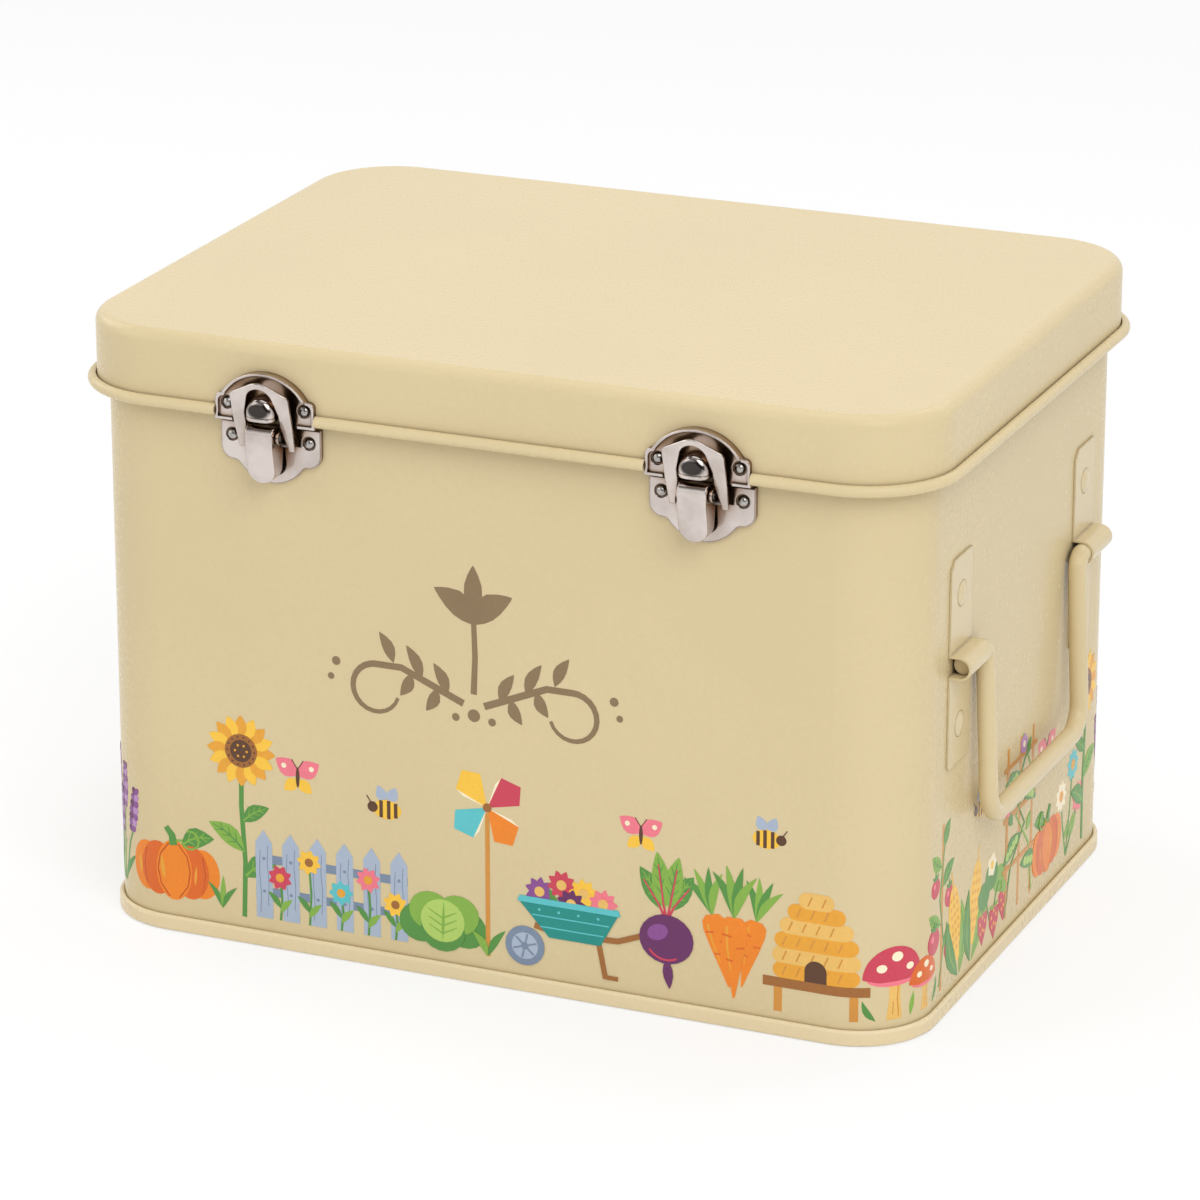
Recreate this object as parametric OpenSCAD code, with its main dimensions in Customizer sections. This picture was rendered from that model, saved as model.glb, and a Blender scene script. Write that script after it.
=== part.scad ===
// Enamelled sheet-metal seed box: overlapping hinged lid, two draw latches, two bail handles,
// and inside it a lift-out compartment tray over a divided base.
// Millimetres, +Z up, front at -Y. The origin is the middle of the footprint, on the ground.

/* [Box] */
// Width over the lid's skirt
box_w = 330; // [300:1:380]
// Depth over the lid's skirt
box_d = 244; // [220:1:290]
// Height from the ground to the lid's top
box_h = 235; // [225:1:270]
// Corner radius of the lid's skirt, seen from above
corner_r = 33; // [24:1:42]
// Thickness of the box and lid steel
sheet = 0.7; // [0.5:0.1:1]
// Gap between the lid's outer face and the body's wall
lid_overhang = 4.6; // [4.2:0.1:5.4]

/* [Lid] */
// Radius of the rounded edge round the lid's top
lid_edge_r = 4.4; // [3.6:0.1:6]
// Height of the skirt, from the lid's top to the middle of its hem
skirt_h = 26; // [24:0.5:28]
// Outer radius of the curled hem
hem_r = 2.1; // [1.6:0.1:2.4]
// Slit between the hem's free edge and the skirt
hem_slit = 0.45; // [0.3:0.05:0.7]
// Space between the lid's underside and the rim it rests on
lid_seat_gap = 0.3; // [0.2:0.05:0.6]

/* [Body] */
// Outer radius of the rolled rim at the top of the wall
rim_r = 1.15; // [1:0.05:1.4]
// Height of the seamed foot rim
foot_h = 6; // [5:0.5:8]
// How far the foot rim stands out from the wall
foot_out = 2; // [1.6:0.1:3]
// Height of the sunken base panel above the ground
base_rise = 3.6; // [3:0.1:4.5]
// Thickness of the base steel
base_t = 0.8; // [0.6:0.1:1.2]
// Width of the folded seam down the back wall
seam_w = 7; // [5:0.5:10]

/* [Latches] */
// Distance of each latch from the box's middle
latch_x = 83.3; // [60:0.1:110]
// Thickness of the latch steel
latch_t = 1; // [0.8:0.1:1.2]
// Width over the ears of the catch plate
catch_w = 39; // [38:0.2:44]
// Radius of the arched hood
hood_r = 19.8; // [18:0.1:22]
// Height of the hood's turned-up edge
hood_lip = 2.8; // [2:0.1:3.2]
// Height of the turned-up edge over the ears
ear_lip = 1.2; // [0.6:0.1:1.8]
// Height of the ears, above the plate's lower edge
ear_h = 10; // [9:0.1:11]
// Distance from the middle at which the lip under the ears begins
ear_lip_from = 12.8; // [12.6:0.1:14]
// Corner radius of the ears
ear_round = 2.2; // [1.6:0.1:3]
// Radius of the boss that the link catches on
boss_r = 5.7; // [5.3:0.1:5.9]
// How much wider the boss is at its root
boss_flare = 0.4; // [0.2:0.1:0.8]
// Height of the boss's middle above the plate's lower edge
boss_up = 4.9; // [4.7:0.1:5.2]
// Height of the boss's open side above the plate's lower edge
boss_open = 2.3; // [2:0.1:2.6]
// How far the lip along the boss's open side stands proud
boss_lip = 0.3; // [0.2:0.05:0.4]
// How far the boss stands out from the lid's skirt
boss_out = 7.4; // [7:0.1:7.8]
// Radius of the boss's rounded front edge
boss_round = 2.8; // [2:0.1:3.2]
// Width of the base plate
keeper_w = 39.8; // [39:0.2:44]
// Corner radius of the base plate
keeper_corner = 5; // [4.5:0.1:5.5]
// Height of the base plate's square part
keeper_h = 14.7; // [14:0.1:16]
// Depth of the base plate's turned-down edge
keeper_lift = 2; // [1.8:0.1:2.2]
// Radius of the base plate's round lower end
keeper_tip_r = 15.5; // [14.5:0.1:16.5]
// How far the round lower end hangs below the square part
keeper_tip_drop = 7.4; // [6.8:0.1:8]
// Radius of the dimple round each rivet head
dimple_r = 2.6; // [2.4:0.1:2.9]
// Depth of the dimple
dimple_deep = 0.5; // [0.3:0.05:0.6]
// Distance between the two rivets of a plate
latch_rivet_pitch = 30.5; // [30:0.1:32]
// Distance of the upper rivets above the hem's middle
catch_rivet_up = 3.2; // [3:0.1:4]
// Distance of the lower rivets below the hem's middle
keeper_rivet_down = 9.9; // [9.5:0.1:10.5]
// Width of the lever
lever_w = 10.7; // [10:0.1:11]
// Length of the lever below its pivot
lever_drop = 17.2; // [16:0.1:18]
// Distance of the lever's face from the body's wall
lever_face = 12; // [11.6:0.1:12.4]
// Length of the lever's upright part, above the bend in its face
lever_bend = 8; // [7:0.1:9]
// Radius of the lever's rolled top
lever_roll = 3; // [2:0.1:3.2]
// Pin radius in the latches
latch_pin_r = 0.9; // [0.8:0.05:1]
// Lean of the link away from the lid
link_lean = 16.5; // [15:0.5:18]
// Distance from the link's pin to where its legs have widened
link_neck = 9; // [8:0.1:10]
// Width of the link over its legs
link_w = 23; // [22.4:0.1:24]
// Reach of the link's window above its pin
link_window = 23.7; // [22.4:0.1:24]
// Radius of the window's round top
link_window_r = 5.2; // [5:0.1:6]
// Width of the link's bar round the window's top
link_bar = 2.2; // [1.8:0.1:2.8]
// Height of the link's shoulders above its pin, at the middle of their rounding
link_shoulder = 19.5; // [18.5:0.1:20]
// Radius of the link's shoulders
link_shoulder_r = 2.5; // [1.5:0.1:3]

/* [Handles] */
// Radius of the handle's rod
rod_r = 3.5; // [3:0.1:4]
// Distance between the handle's two legs
leg_span = 102; // [94:1:120]
// Drop of the grip below the pivots
grip_drop = 66.5; // [55:0.5:67]
// Distance of the handle's pivots below the lid's top
handle_drop = 102; // [100:0.5:107]
// Distance of the pivots from the body's wall
rod_standoff = 4.2; // [4:0.1:6.5]
// Outward lean of the hanging handle
handle_lean = 2.5; // [0:0.5:3]
// Distance of the rod's ends inside the brackets' outer edges
rod_inset = 4.5; // [2:0.5:6]
// Bend radius of the rod's middle line where it turns into the saddles
journal_bend = 5; // [4.6:0.1:6]
// Bend radius of the rod's middle line at the grip's corners
grip_bend = 11; // [8:0.5:16]
// Width of a bracket strip
strip_w = 22; // [20:0.5:25]
// Length of a bracket strip
strip_l = 78; // [74:1:82]
// Thickness of a bracket strip
strip_t = 0.9; // [0.8:0.1:1.4]
// Cut of a bracket strip's front top corner
strip_cut = 3.5; // [2:0.5:6]
// Cut of its other corners
strip_nip = 1; // [0.5:0.1:2]
// Distance between the two rivets of a bracket
strip_rivet_pitch = 49; // [46:1:54]

/* [Hinges] */
// Distance of each hinge from the box's middle
hinge_x = 83.3; // [60:0.1:110]
// Width of a hinge
hinge_w = 30; // [26:1:36]
// Length of the middle knuckle
knuckle_l = 11.6; // [10:0.2:13]
// Outer radius of the knuckles
knuckle_r = 2.6; // [2.4:0.1:3]
// Hinge pin radius
hinge_pin_r = 1.45; // [1.3:0.05:1.5]
// Length of the leaf on the lid
lid_leaf_l = 20; // [18:0.5:21]
// Length of the leaf on the body
body_leaf_l = 20; // [18:0.5:24]

/* [Tray] */
// Distance of the tray's rim below the lid's top
tray_rim_drop = 35; // [34:1:45]
// Depth of the tray
tray_depth = 46; // [36:1:52]
// Thickness of the tray's steel
tray_t = 0.7; // [0.5:0.1:1]
// Space between the tray's rolled rim and the body's wall
tray_gap = 1.6; // [1.5:0.1:3]
// Outer radius of the tray's rolled rim
tray_rim_r = 1.15; // [1:0.05:1.3]
// Cross dividers in the tray
cross_count = 3; // [1:1:4]
// Width of a hand slot in the long divider
slot_w = 62; // [50:1:64]
// Height of a hand slot
slot_h = 22; // [18:1:24]
// Least distance of a hand slot from the cross dividers, and below the divider's top
slot_edge = 7; // [5:0.5:9]
// Width of the ledges that carry the tray
ledge_w = 11; // [9:0.5:14]
// Length of the ledges
ledge_l = 170; // [150:1:175]
// Space between the partition's top and the tray
partition_gap = 6; // [3:0.5:12]

/* [Fits] */
// Radial clearance of a pin that turns in its hole
pin_fit = 0.05; // [0.02:0.01:0.1]
// Space between latch or hinge pieces that move side by side
side_gap = 0.3; // [0.2:0.05:0.4]
// Rest gap between the tray and its ledges
seat_gap = 0.3; // [0.2:0.05:0.5]
// Radial clearance of a rivet shank
shank_fit = 0.02; // [0.01:0.01:0.05]
// Thickness of a rivet's flattened tail
tail_t = 0.5; // [0.4:0.1:0.6]

/* [Hidden] */
$fn = 48;
cream = [0.87, 0.80, 0.64];
nickel = [0.75, 0.72, 0.69];
zinc = [0.62, 0.63, 0.65];
steel = [0.55, 0.55, 0.56];

// body, rim and foot
body_w = box_w - 2 * lid_overhang;
body_d = box_d - 2 * lid_overhang;
body_r = corner_r - lid_overhang;
rim_top = box_h - sheet - lid_seat_gap;
rim_mid = rim_top - rim_r;
wall_foot = base_t + 0.4;
inner_w = body_w - 2 * sheet;
inner_d = body_d - 2 * sheet;

// lid hem: the skirt's inner face runs straight into the curl
hem_z = box_h - skirt_h;
hem_out = hem_r - sheet;
hem_low = hem_z - hem_r;

// latch heights, and distances out from the body's wall
catch_low = hem_low - 1;
hood_z = catch_low - 0.6;
catch_in = lid_overhang;
catch_face = catch_in + latch_t;
boss_z = catch_low + boss_up;
boss_low = catch_low + boss_open;
boss_lip_h = 1.3;
boss_tip = catch_in + boss_out;
keeper_rivet_z = hem_z - keeper_rivet_down;
catch_rivet_z = hem_z + catch_rivet_up;
keeper_top = catch_low - 1.6;
keeper_low = keeper_top - keeper_h;
keeper_tip_z = keeper_low - keeper_tip_drop + keeper_tip_r;
fulcrum = [7.6, keeper_top - 2.6];
link_pin_at = [4, keeper_top - 6.1];
lever_top = fulcrum[1] + 4.3;
lever_low = fulcrum[1] - lever_drop;
keeper_edge = 0.4;
ear_in = lever_w / 2 + side_gap;
ear_r = 2.4;
eye_r = latch_pin_r + 0.75;
leg_in = 6.8;
leg_tip_in = 8.6;
leg_tip_out = link_w / 2 - 0.6;
eye_out = leg_tip_out - 1.2;
latch_shank_r = 1.25;
latch_head_r = 2.15;
latch_head_h = 1.6;

// hinge axis: the lid leaf lies on the skirt and is tangent to its knuckles
hinge_out = lid_overhang + knuckle_r;
hinge_z = hem_low - 0.9;
hinge_t = 1;
leaf_top = hinge_z + lid_leaf_l;
body_leaf_top = hinge_z - 4.4;
leaf_notch = knuckle_l / 2 + side_gap;
hinge_pin_reach = hinge_w / 2 + side_gap;
hinge_head_t = 0.6;

// handles
handle_z = box_h - handle_drop;
bracket_y = leg_span / 2 + rod_r + 2.5 + strip_w / 2;
saddle_in = rod_r + pin_fit;
saddle_out = saddle_in + strip_t;
rod_end_y = bracket_y + strip_w / 2 - rod_inset;
strip_shank_r = 2;
strip_head_r = 5;

// tray, its ledges and the partition below it
tray_rim_z = box_h - tray_rim_drop;
tray_w = inner_w - 2 * (tray_gap + 2 * tray_rim_r - tray_t);
tray_d = inner_d - 2 * (tray_gap + 2 * tray_rim_r - tray_t);
tray_r = body_r - sheet - tray_gap - 2 * tray_rim_r + tray_t;
tray_low = tray_rim_z - tray_depth;
tray_floor = tray_low + tray_t;
ledge_top = tray_low - seat_gap;
ledge_t = 1;
ledge_drop = 14;
divider_top = tray_rim_z - 2 * tray_rim_r - 1;
divider_t = 0.8;
lap_gap = 0.1;
partition_low = base_rise + base_t;
partition_top = ledge_top - ledge_t - partition_gap;
partition_flange = 12;

// Frames: x runs along the wall, y is height, z is distance out from the body's wall
module on_front(x = 0) translate([x, -body_d / 2, 0]) rotate([90, 0, 0]) children();
module on_back(x = 0) translate([x, body_d / 2, 0]) rotate([90, 0, 180]) children();
module on_right(y = 0) translate([body_w / 2, y, 0]) rotate([90, 0, 90]) children();
module on_left(y = 0) mirror([1, 0, 0]) on_right(y) children();

// In a wall's frame: a profile drawn as (distance out, height), run along the wall
module across(length, from = undef) {
    start = from == undef ? -length / 2 : from;
    translate([start + length, 0, 0]) rotate([0, -90, 0]) linear_extrude(length) children();
}

// A pin or bore along the wall, at [distance out, height]
module pin_across(at, r, length, from = undef) {
    across(length, from) translate(at) circle(r);
}

// Rounded rectangle with true arcs
module slab(w, d, r) {
    square([w - 2 * r, d], center = true);
    square([w, d - 2 * r], center = true);
    for (sx = [-1, 1], sy = [-1, 1])
        translate([sx * (w / 2 - r), sy * (d / 2 - r)]) circle(r);
}

// Carries a profile, drawn as (distance out from the wall, height), round a rounded rectangle
module round_the_box(w, d, r) {
    for (turn = [0 : 3]) {
        reach = turn % 2 == 0 ? w / 2 : d / 2;
        run = (turn % 2 == 0 ? d : w) - 2 * r;
        rotate([0, 0, 90 * turn]) {
            translate([reach, run / 2, 0]) rotate([90, 0, 0]) linear_extrude(run) children();
            translate([reach - r, run / 2, 0]) rotate_extrude(angle = 90)
                translate([r, 0]) children();
        }
    }
}

module ring(r, t) {
    difference() {
        circle(r);
        circle(r - t);
    }
}

// A rivet through a stack, in a wall's frame: domed head outside, flattened tail inside
module rivet(at, inside, outside, head_r, head_h, shank_r, tail_r) {
    dome_r = (head_r * head_r + head_h * head_h) / (2 * head_h);
    translate([at[0], at[1], 0]) {
        translate([0, 0, inside]) cylinder(r = shank_r, h = outside - inside);
        translate([0, 0, inside - tail_t]) cylinder(r = tail_r, h = tail_t);
        translate([0, 0, outside]) rotate_extrude() intersection() {
            square([head_r, head_h]);
            translate([0, head_h - dome_r]) circle(dome_r);
        }
    }
}

module rivet_holes(places, r, inside, outside) {
    for (at = places)
        translate([at[0], at[1], inside - 1]) cylinder(r = r + shank_fit, h = outside - inside + 2);
}

// Places of the rivets, in their wall's frame
latch_rivets_x = [-latch_rivet_pitch / 2, latch_rivet_pitch / 2];
catch_rivet_places = [for (x = latch_rivets_x) [x, catch_rivet_z]];
keeper_rivet_places = [for (x = latch_rivets_x) [x, keeper_rivet_z]];
strip_rivet_places = [for (s = [-1, 1]) [0, handle_z + s * strip_rivet_pitch / 2]];
hinge_rivets_x = [-hinge_w / 2 + 5, hinge_w / 2 - 5];
lid_leaf_rivet_places = [for (x = hinge_rivets_x) [x, leaf_top - 5]];
body_leaf_rivet_places = [for (x = hinge_rivets_x) [x, body_leaf_top - body_leaf_l + 6]];

// Body
module body_profile() {
    translate([-sheet, wall_foot]) square([sheet, rim_mid - wall_foot]);
    translate([rim_r - sheet, rim_mid]) ring(rim_r, sheet * 0.8);
}

module body_shell() color(cream) difference() {
    union() {
        round_the_box(body_w, body_d, body_r) body_profile();
        on_back() translate([-seam_w / 2, foot_h + 2, 0])
            cube([seam_w, rim_mid - skirt_h - foot_h, sheet]);
    }
    for (x = [-latch_x, latch_x])
        on_front(x) rivet_holes(keeper_rivet_places, latch_shank_r, -sheet, 0);
    for (x = [-hinge_x, hinge_x])
        on_back(x) rivet_holes(body_leaf_rivet_places, latch_shank_r, -sheet, 0);
    for (y = [-bracket_y, bracket_y]) {
        on_right(y) rivet_holes(strip_rivet_places, strip_shank_r, -sheet, 0);
        on_left(y) rivet_holes(strip_rivet_places, strip_shank_r, -sheet, 0);
    }
}

// The base is seamed on: its edge wraps under and up outside the wall, and the panel is sunken
module base_profile() {
    translate([0, 0]) difference() {
        union() {
            translate([0, foot_out / 2]) square([foot_out, foot_h - foot_out]);
            translate([foot_out / 2, foot_out / 2]) circle(foot_out / 2);
            translate([foot_out / 2, foot_h - foot_out / 2]) circle(foot_out / 2);
            translate([-sheet - base_t, 0]) square([foot_out / 2 + sheet + base_t, wall_foot]);
            square([foot_out / 2, foot_h - foot_out / 2]);
        }
        translate([-sheet, wall_foot]) square([sheet, foot_h]);
    }
    translate([-sheet - base_t, 0]) square([base_t, base_rise + base_t]);
}

module base_pan() color(cream) {
    round_the_box(body_w, body_d, body_r) base_profile();
    translate([0, 0, base_rise])
        linear_extrude(base_t) slab(inner_w, inner_d, body_r - sheet);
}

// Lid
module lid_profile() {
    translate([-sheet, hem_z]) square([sheet, box_h - lid_edge_r - hem_z]);
    translate([-lid_edge_r, box_h - lid_edge_r]) intersection() {
        ring(lid_edge_r, sheet);
        square(lid_edge_r);
    }
    difference() {
        translate([hem_out, hem_z]) ring(hem_r, sheet);
        translate([0, hem_z]) square([hem_slit, hem_r]);
        translate([-sheet, hem_z]) square([sheet, hem_r]);
    }
}

// The hem is squashed flat where a latch or hinge plate lies over it
module flattened_hem(half) {
    translate([-half, hem_low - 1, 0]) cube([2 * half, hem_z + hem_r - hem_low + 1.5, 2 * hem_r]);
}

module lid_shell() color(cream) difference() {
    union() {
        round_the_box(box_w, box_d, corner_r) lid_profile();
        translate([0, 0, box_h - sheet]) linear_extrude(sheet)
            slab(box_w - 2 * lid_edge_r, box_d - 2 * lid_edge_r, corner_r - lid_edge_r);
    }
    for (x = [-latch_x, latch_x]) on_front(x) {
        translate([0, 0, lid_overhang]) flattened_hem(catch_w / 2 + side_gap);
        rivet_holes(catch_rivet_places, latch_shank_r, lid_overhang - sheet, lid_overhang);
    }
    for (x = [-hinge_x, hinge_x]) on_back(x) {
        translate([0, 0, lid_overhang]) flattened_hem(hinge_pin_reach + hinge_head_t + side_gap);
        rivet_holes(lid_leaf_rivet_places, latch_shank_r, lid_overhang - sheet, lid_overhang);
    }
}

// Draw latch. The catch plate on the lid has an arched hood and a half-round boss.
module catch_outline(inset = 0) {
    intersection() {
        translate([0, hood_z]) circle(hood_r - inset);
        translate([-hood_r, catch_low + inset]) square([2 * hood_r, 2 * hood_r]);
    }
    ear = catch_w / 2 - inset;
    translate([-ear, catch_low + inset + ear_round])
        square([2 * ear, ear_h - 2 * inset - 2 * ear_round]);
    translate([-ear + ear_round, catch_low + inset])
        square([2 * ear - 2 * ear_round, ear_h - 2 * inset]);
    for (s = [-1, 1], y = [catch_low + inset + ear_round, catch_low + ear_h - inset - ear_round])
        translate([s * (ear - ear_round), y]) circle(ear_round);
}

module catch_edge() difference() {
    catch_outline();
    catch_outline(latch_t);
}

module boss_solid(inset = 0) {
    r = boss_r - inset;
    tip = boss_out - inset;
    round = boss_round - inset;
    rotate_extrude() {
        polygon([[0, -inset], [r + boss_flare, -inset], [r, tip - round], [r - round, tip], [0, tip]]);
        intersection() {
            square([r, tip]);
            translate([r - round, tip - round]) circle(round);
        }
    }
}

module catch_plate() color(nickel) translate([0, 0, catch_in]) difference() {
    union() {
        linear_extrude(latch_t) catch_outline();
        intersection() {
            linear_extrude(latch_t + hood_lip) catch_edge();
            translate([-hood_r, catch_low + ear_h + 0.4, 0]) cube([2 * hood_r, hood_r, 2 * hood_lip]);
        }
        difference() {
            linear_extrude(latch_t + ear_lip) catch_edge();
            translate([-ear_lip_from, catch_low - 1, 0])
                cube([2 * ear_lip_from, ear_h, 2 * hood_lip]);
        }
        translate([0, boss_z, 0]) boss_solid();
        intersection() {
            translate([0, boss_z, 0]) boss_solid(-boss_lip);
            translate([-hood_r, boss_low, latch_t / 2]) cube([2 * hood_r, boss_lip_h, 2 * boss_out]);
        }
    }
    translate([0, boss_z, 0]) boss_solid(latch_t);
    notch_w = leg_in + 1.2;
    translate([-notch_w, catch_low - 2, -1]) cube([2 * notch_w, boss_low - catch_low + 2, boss_out + 2]);
    rivet_holes(catch_rivet_places, latch_shank_r, 0, latch_t);
    for (at = catch_rivet_places)
        translate([at[0], at[1], latch_t - dimple_deep]) cylinder(r = dimple_r, h = latch_t);
}

// The base plate: square shoulders running in concave curves to a round lower end
module keeper_outline(inset = 0) {
    half = keeper_w / 2 - inset;
    corner = keeper_corner - inset;
    low = keeper_low + inset;
    tip_r = keeper_tip_r - inset;
    hollow_r = 3 + inset;
    drop = keeper_tip_z - low + hollow_r;
    hollow_x = sqrt(pow(tip_r + hollow_r, 2) - drop * drop);
    touch = tip_r / (tip_r + hollow_r);
    translate([-half, low + corner]) square([2 * half, keeper_top - inset - low - corner]);
    translate([-half + corner, low]) square([2 * half - 2 * corner, corner * 2]);
    for (s = [-1, 1]) translate([s * (half - corner), low + corner]) circle(corner);
    intersection() {
        translate([0, keeper_tip_z]) circle(tip_r, $fn = 96);
        translate([-tip_r, low - 2 * keeper_tip_drop]) square([2 * tip_r, 2 * keeper_tip_drop + corner]);
    }
    difference() {
        polygon([[-hollow_x, low + 0.1], [-hollow_x * touch, keeper_tip_z - drop * touch],
                 [hollow_x * touch, keeper_tip_z - drop * touch], [hollow_x, low + 0.1]]);
        for (s = [-1, 1]) translate([s * hollow_x, keeper_tip_z - drop]) circle(hollow_r);
    }
}

module latch_base() color(nickel) difference() {
    union() {
        difference() {
            union() {
                linear_extrude(keeper_lift - keeper_edge) keeper_outline();
                linear_extrude(keeper_lift) keeper_outline(keeper_edge);
            }
            translate([0, 0, -1]) linear_extrude(keeper_lift + 1 - latch_t) keeper_outline(latch_t);
        }
        for (at = keeper_rivet_places) translate([at[0], at[1], 0])
            cylinder(r = dimple_r + latch_t / 2, h = keeper_lift - latch_t);
        for (s = [-1, 1]) across(latch_t, s > 0 ? ear_in : -ear_in - latch_t) {
            translate(fulcrum) circle(ear_r);
            translate([keeper_lift - latch_t, fulcrum[1] - ear_r])
                square([fulcrum[0] - keeper_lift + latch_t, 2 * ear_r]);
        }
    }
    for (at = keeper_rivet_places)
        translate([at[0], at[1], keeper_lift - dimple_deep]) cylinder(r = dimple_r, h = keeper_lift);
    rivet_holes(keeper_rivet_places, latch_shank_r, 0, keeper_lift);
    pin_across(fulcrum, latch_pin_r + shank_fit, 4 * ear_in);
}

// The lever: a pressed channel with a rolled top and a round lower end
module lever_side(face, top, low) {
    // the face leans back towards the wall at its lower end
    tuck = 2.6;
    translate([face - lever_roll, top - lever_roll]) circle(lever_roll);
    translate(fulcrum) circle(2.3);
    translate(link_pin_at) circle(1.5);
    polygon([
        [face - lever_roll, top], [fulcrum[0] - 1.5, fulcrum[1] + 1.8],
        [link_pin_at[0] - 1.3, link_pin_at[1] + 0.7], [link_pin_at[0] - 1.3, link_pin_at[1] - 0.7],
        [keeper_lift + 2.6, low], [face - tuck, low], [face, top - lever_bend], [face, top - lever_roll]
    ]);
}

module lever_front(inset = 0) {
    r = lever_w / 2 - inset;
    end = lever_low + lever_w / 2;
    translate([-r, end]) square([2 * r, lever_top - inset - end]);
    translate([0, end]) circle(r);
}

module lever() color(nickel) difference() {
    intersection() {
        across(lever_w) lever_side(lever_face, lever_top, lever_low);
        linear_extrude(2 * lever_face) lever_front();
    }
    intersection() {
        across(lever_w) translate([-latch_t, 0])
            union() {
                lever_side(lever_face, lever_top, lever_low);
                translate([-lever_face, lever_low - 1]) square([2 * lever_face - 3.6, lever_drop]);
                translate([-lever_face, lever_low + lever_bend])
                    square([2 * lever_face - lever_roll, lever_drop]);
            }
        linear_extrude(2 * lever_face) lever_front(latch_t);
    }
    pin_across(fulcrum, latch_pin_r + pin_fit, 2 * lever_w);
    pin_across(link_pin_at, latch_pin_r + shank_fit, 2 * lever_w);
}

// The link: a leaning plate with a round-topped window and two tapered legs with turned-back eyes
module link_window_outline() {
    neck = link_neck - latch_t;
    foot = -2 * eye_r;
    waist = (boss_z - link_pin_at[1]) / cos(link_lean);
    // the straight sides above the boss's widest level are tangent to the round top
    top = [0, link_window - link_window_r];
    side = [leg_in, waist];
    turn = atan2(side[1] - top[1], side[0]) + acos(link_window_r / norm(side - top));
    touch = top + link_window_r * [cos(turn), sin(turn)];
    translate(top) circle(link_window_r);
    polygon([[-leg_tip_in, foot], [-leg_tip_in, 0], [-leg_in, neck], [-leg_in, waist],
             [-touch[0], touch[1]], touch, side, [leg_in, neck], [leg_tip_in, 0], [leg_tip_in, foot]]);
}

module link_plate_outline() {
    half = link_w / 2;
    crown_r = link_window_r + link_bar;
    crown = [0, link_window - link_window_r];
    shoulder = [half - link_shoulder_r, link_shoulder];
    span = shoulder - crown;
    slope = atan2(span[1], span[0]) - asin((crown_r - link_shoulder_r) / norm(span));
    normal = [-sin(slope), cos(slope)];
    a = crown + crown_r * normal;
    b = shoulder + link_shoulder_r * normal;
    difference() {
        union() {
            polygon([[-leg_tip_out, -eye_r], [-half, link_neck], [-half, link_shoulder], [-b[0], b[1]],
                     [-a[0], a[1]], a, b, [half, link_shoulder], [half, link_neck], [leg_tip_out, -eye_r]]);
            for (s = [-1, 1]) translate([s * shoulder[0], shoulder[1]]) circle(link_shoulder_r);
            translate(crown) circle(crown_r);
        }
        link_window_outline();
    }
}

module link() color(nickel) difference() {
    translate([0, link_pin_at[1], link_pin_at[0]]) rotate([link_lean, 0, 0]) {
        translate([0, 0, eye_r - latch_t]) linear_extrude(latch_t) link_plate_outline();
        for (s = [-1, 1]) across(latch_t, s > 0 ? eye_out - latch_t : -eye_out) {
            circle(eye_r);
            translate([0, -eye_r]) square([eye_r, eye_r * 3]);
        }
    }
    pin_across(link_pin_at, latch_pin_r + pin_fit, 2 * link_w);
}

module lever_pin() color(steel) {
    reach = ear_in + latch_t;
    head_t = 0.3;
    pin_across(fulcrum, latch_pin_r, 2 * reach);
    for (s = [-1, 1]) pin_across(fulcrum, latch_pin_r + 0.3, head_t, s > 0 ? reach : -reach - head_t);
}

module link_pin() color(steel)
    pin_across(link_pin_at, latch_pin_r, 2 * eye_out + side_gap);

module catch_rivets() color(zinc) for (at = catch_rivet_places)
    rivet(at, catch_in - sheet, catch_face - dimple_deep, latch_head_r, latch_head_h, latch_shank_r, 2);

module base_rivets() color(zinc) for (at = keeper_rivet_places)
    rivet(at, -sheet, keeper_lift - dimple_deep, latch_head_r, latch_head_h, latch_shank_r, 2);

// Hinges. The body leaf's tongue steps out under the lid's skirt to reach the pin.
module hinge_body_leaf() color(nickel) difference() {
    union() {
        translate([-hinge_w / 2, body_leaf_top - body_leaf_l, 0]) cube([hinge_w, body_leaf_l, hinge_t]);
        across(knuckle_l) {
            translate([hinge_out, hinge_z]) circle(knuckle_r);
            polygon([[0, body_leaf_top - 2], [0, body_leaf_top], [hinge_out - 1, hinge_z - 1.2],
                     [hinge_out, hinge_z - knuckle_r], [hinge_t, body_leaf_top - 2]]);
        }
    }
    rivet_holes(body_leaf_rivet_places, latch_shank_r, 0, hinge_t);
    pin_across([hinge_out, hinge_z], hinge_pin_r + shank_fit, 2 * knuckle_l);
}

module hinge_lid_leaf() color(nickel) difference() {
    union() {
        translate([-hinge_w / 2, hinge_z, lid_overhang]) cube([hinge_w, lid_leaf_l, hinge_t]);
        pin_across([hinge_out, hinge_z], knuckle_r, hinge_w);
    }
    translate([-leaf_notch, hinge_z - knuckle_r - 1, lid_overhang - 1])
        cube([2 * leaf_notch, 2 * knuckle_r + 1.6, 2 * knuckle_r + 2]);
    rivet_holes(lid_leaf_rivet_places, latch_shank_r, lid_overhang, lid_overhang + hinge_t);
    pin_across([hinge_out, hinge_z], hinge_pin_r + pin_fit, 2 * hinge_w);
}

module hinge_pin() color(steel) {
    pin_across([hinge_out, hinge_z], hinge_pin_r, 2 * hinge_pin_reach);
    for (s = [-1, 1]) pin_across([hinge_out, hinge_z], hinge_pin_r + 0.6, hinge_head_t,
        s > 0 ? hinge_pin_reach : -hinge_pin_reach - hinge_head_t);
}

module hinge_lid_rivets() color(zinc) for (at = lid_leaf_rivet_places)
    rivet(at, lid_overhang - sheet, lid_overhang + hinge_t, latch_head_r, 1.1, latch_shank_r, 2);

module hinge_body_rivets() color(zinc) for (at = body_leaf_rivet_places)
    rivet(at, -sheet, hinge_t, latch_head_r, 1.1, latch_shank_r, 2);

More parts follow.
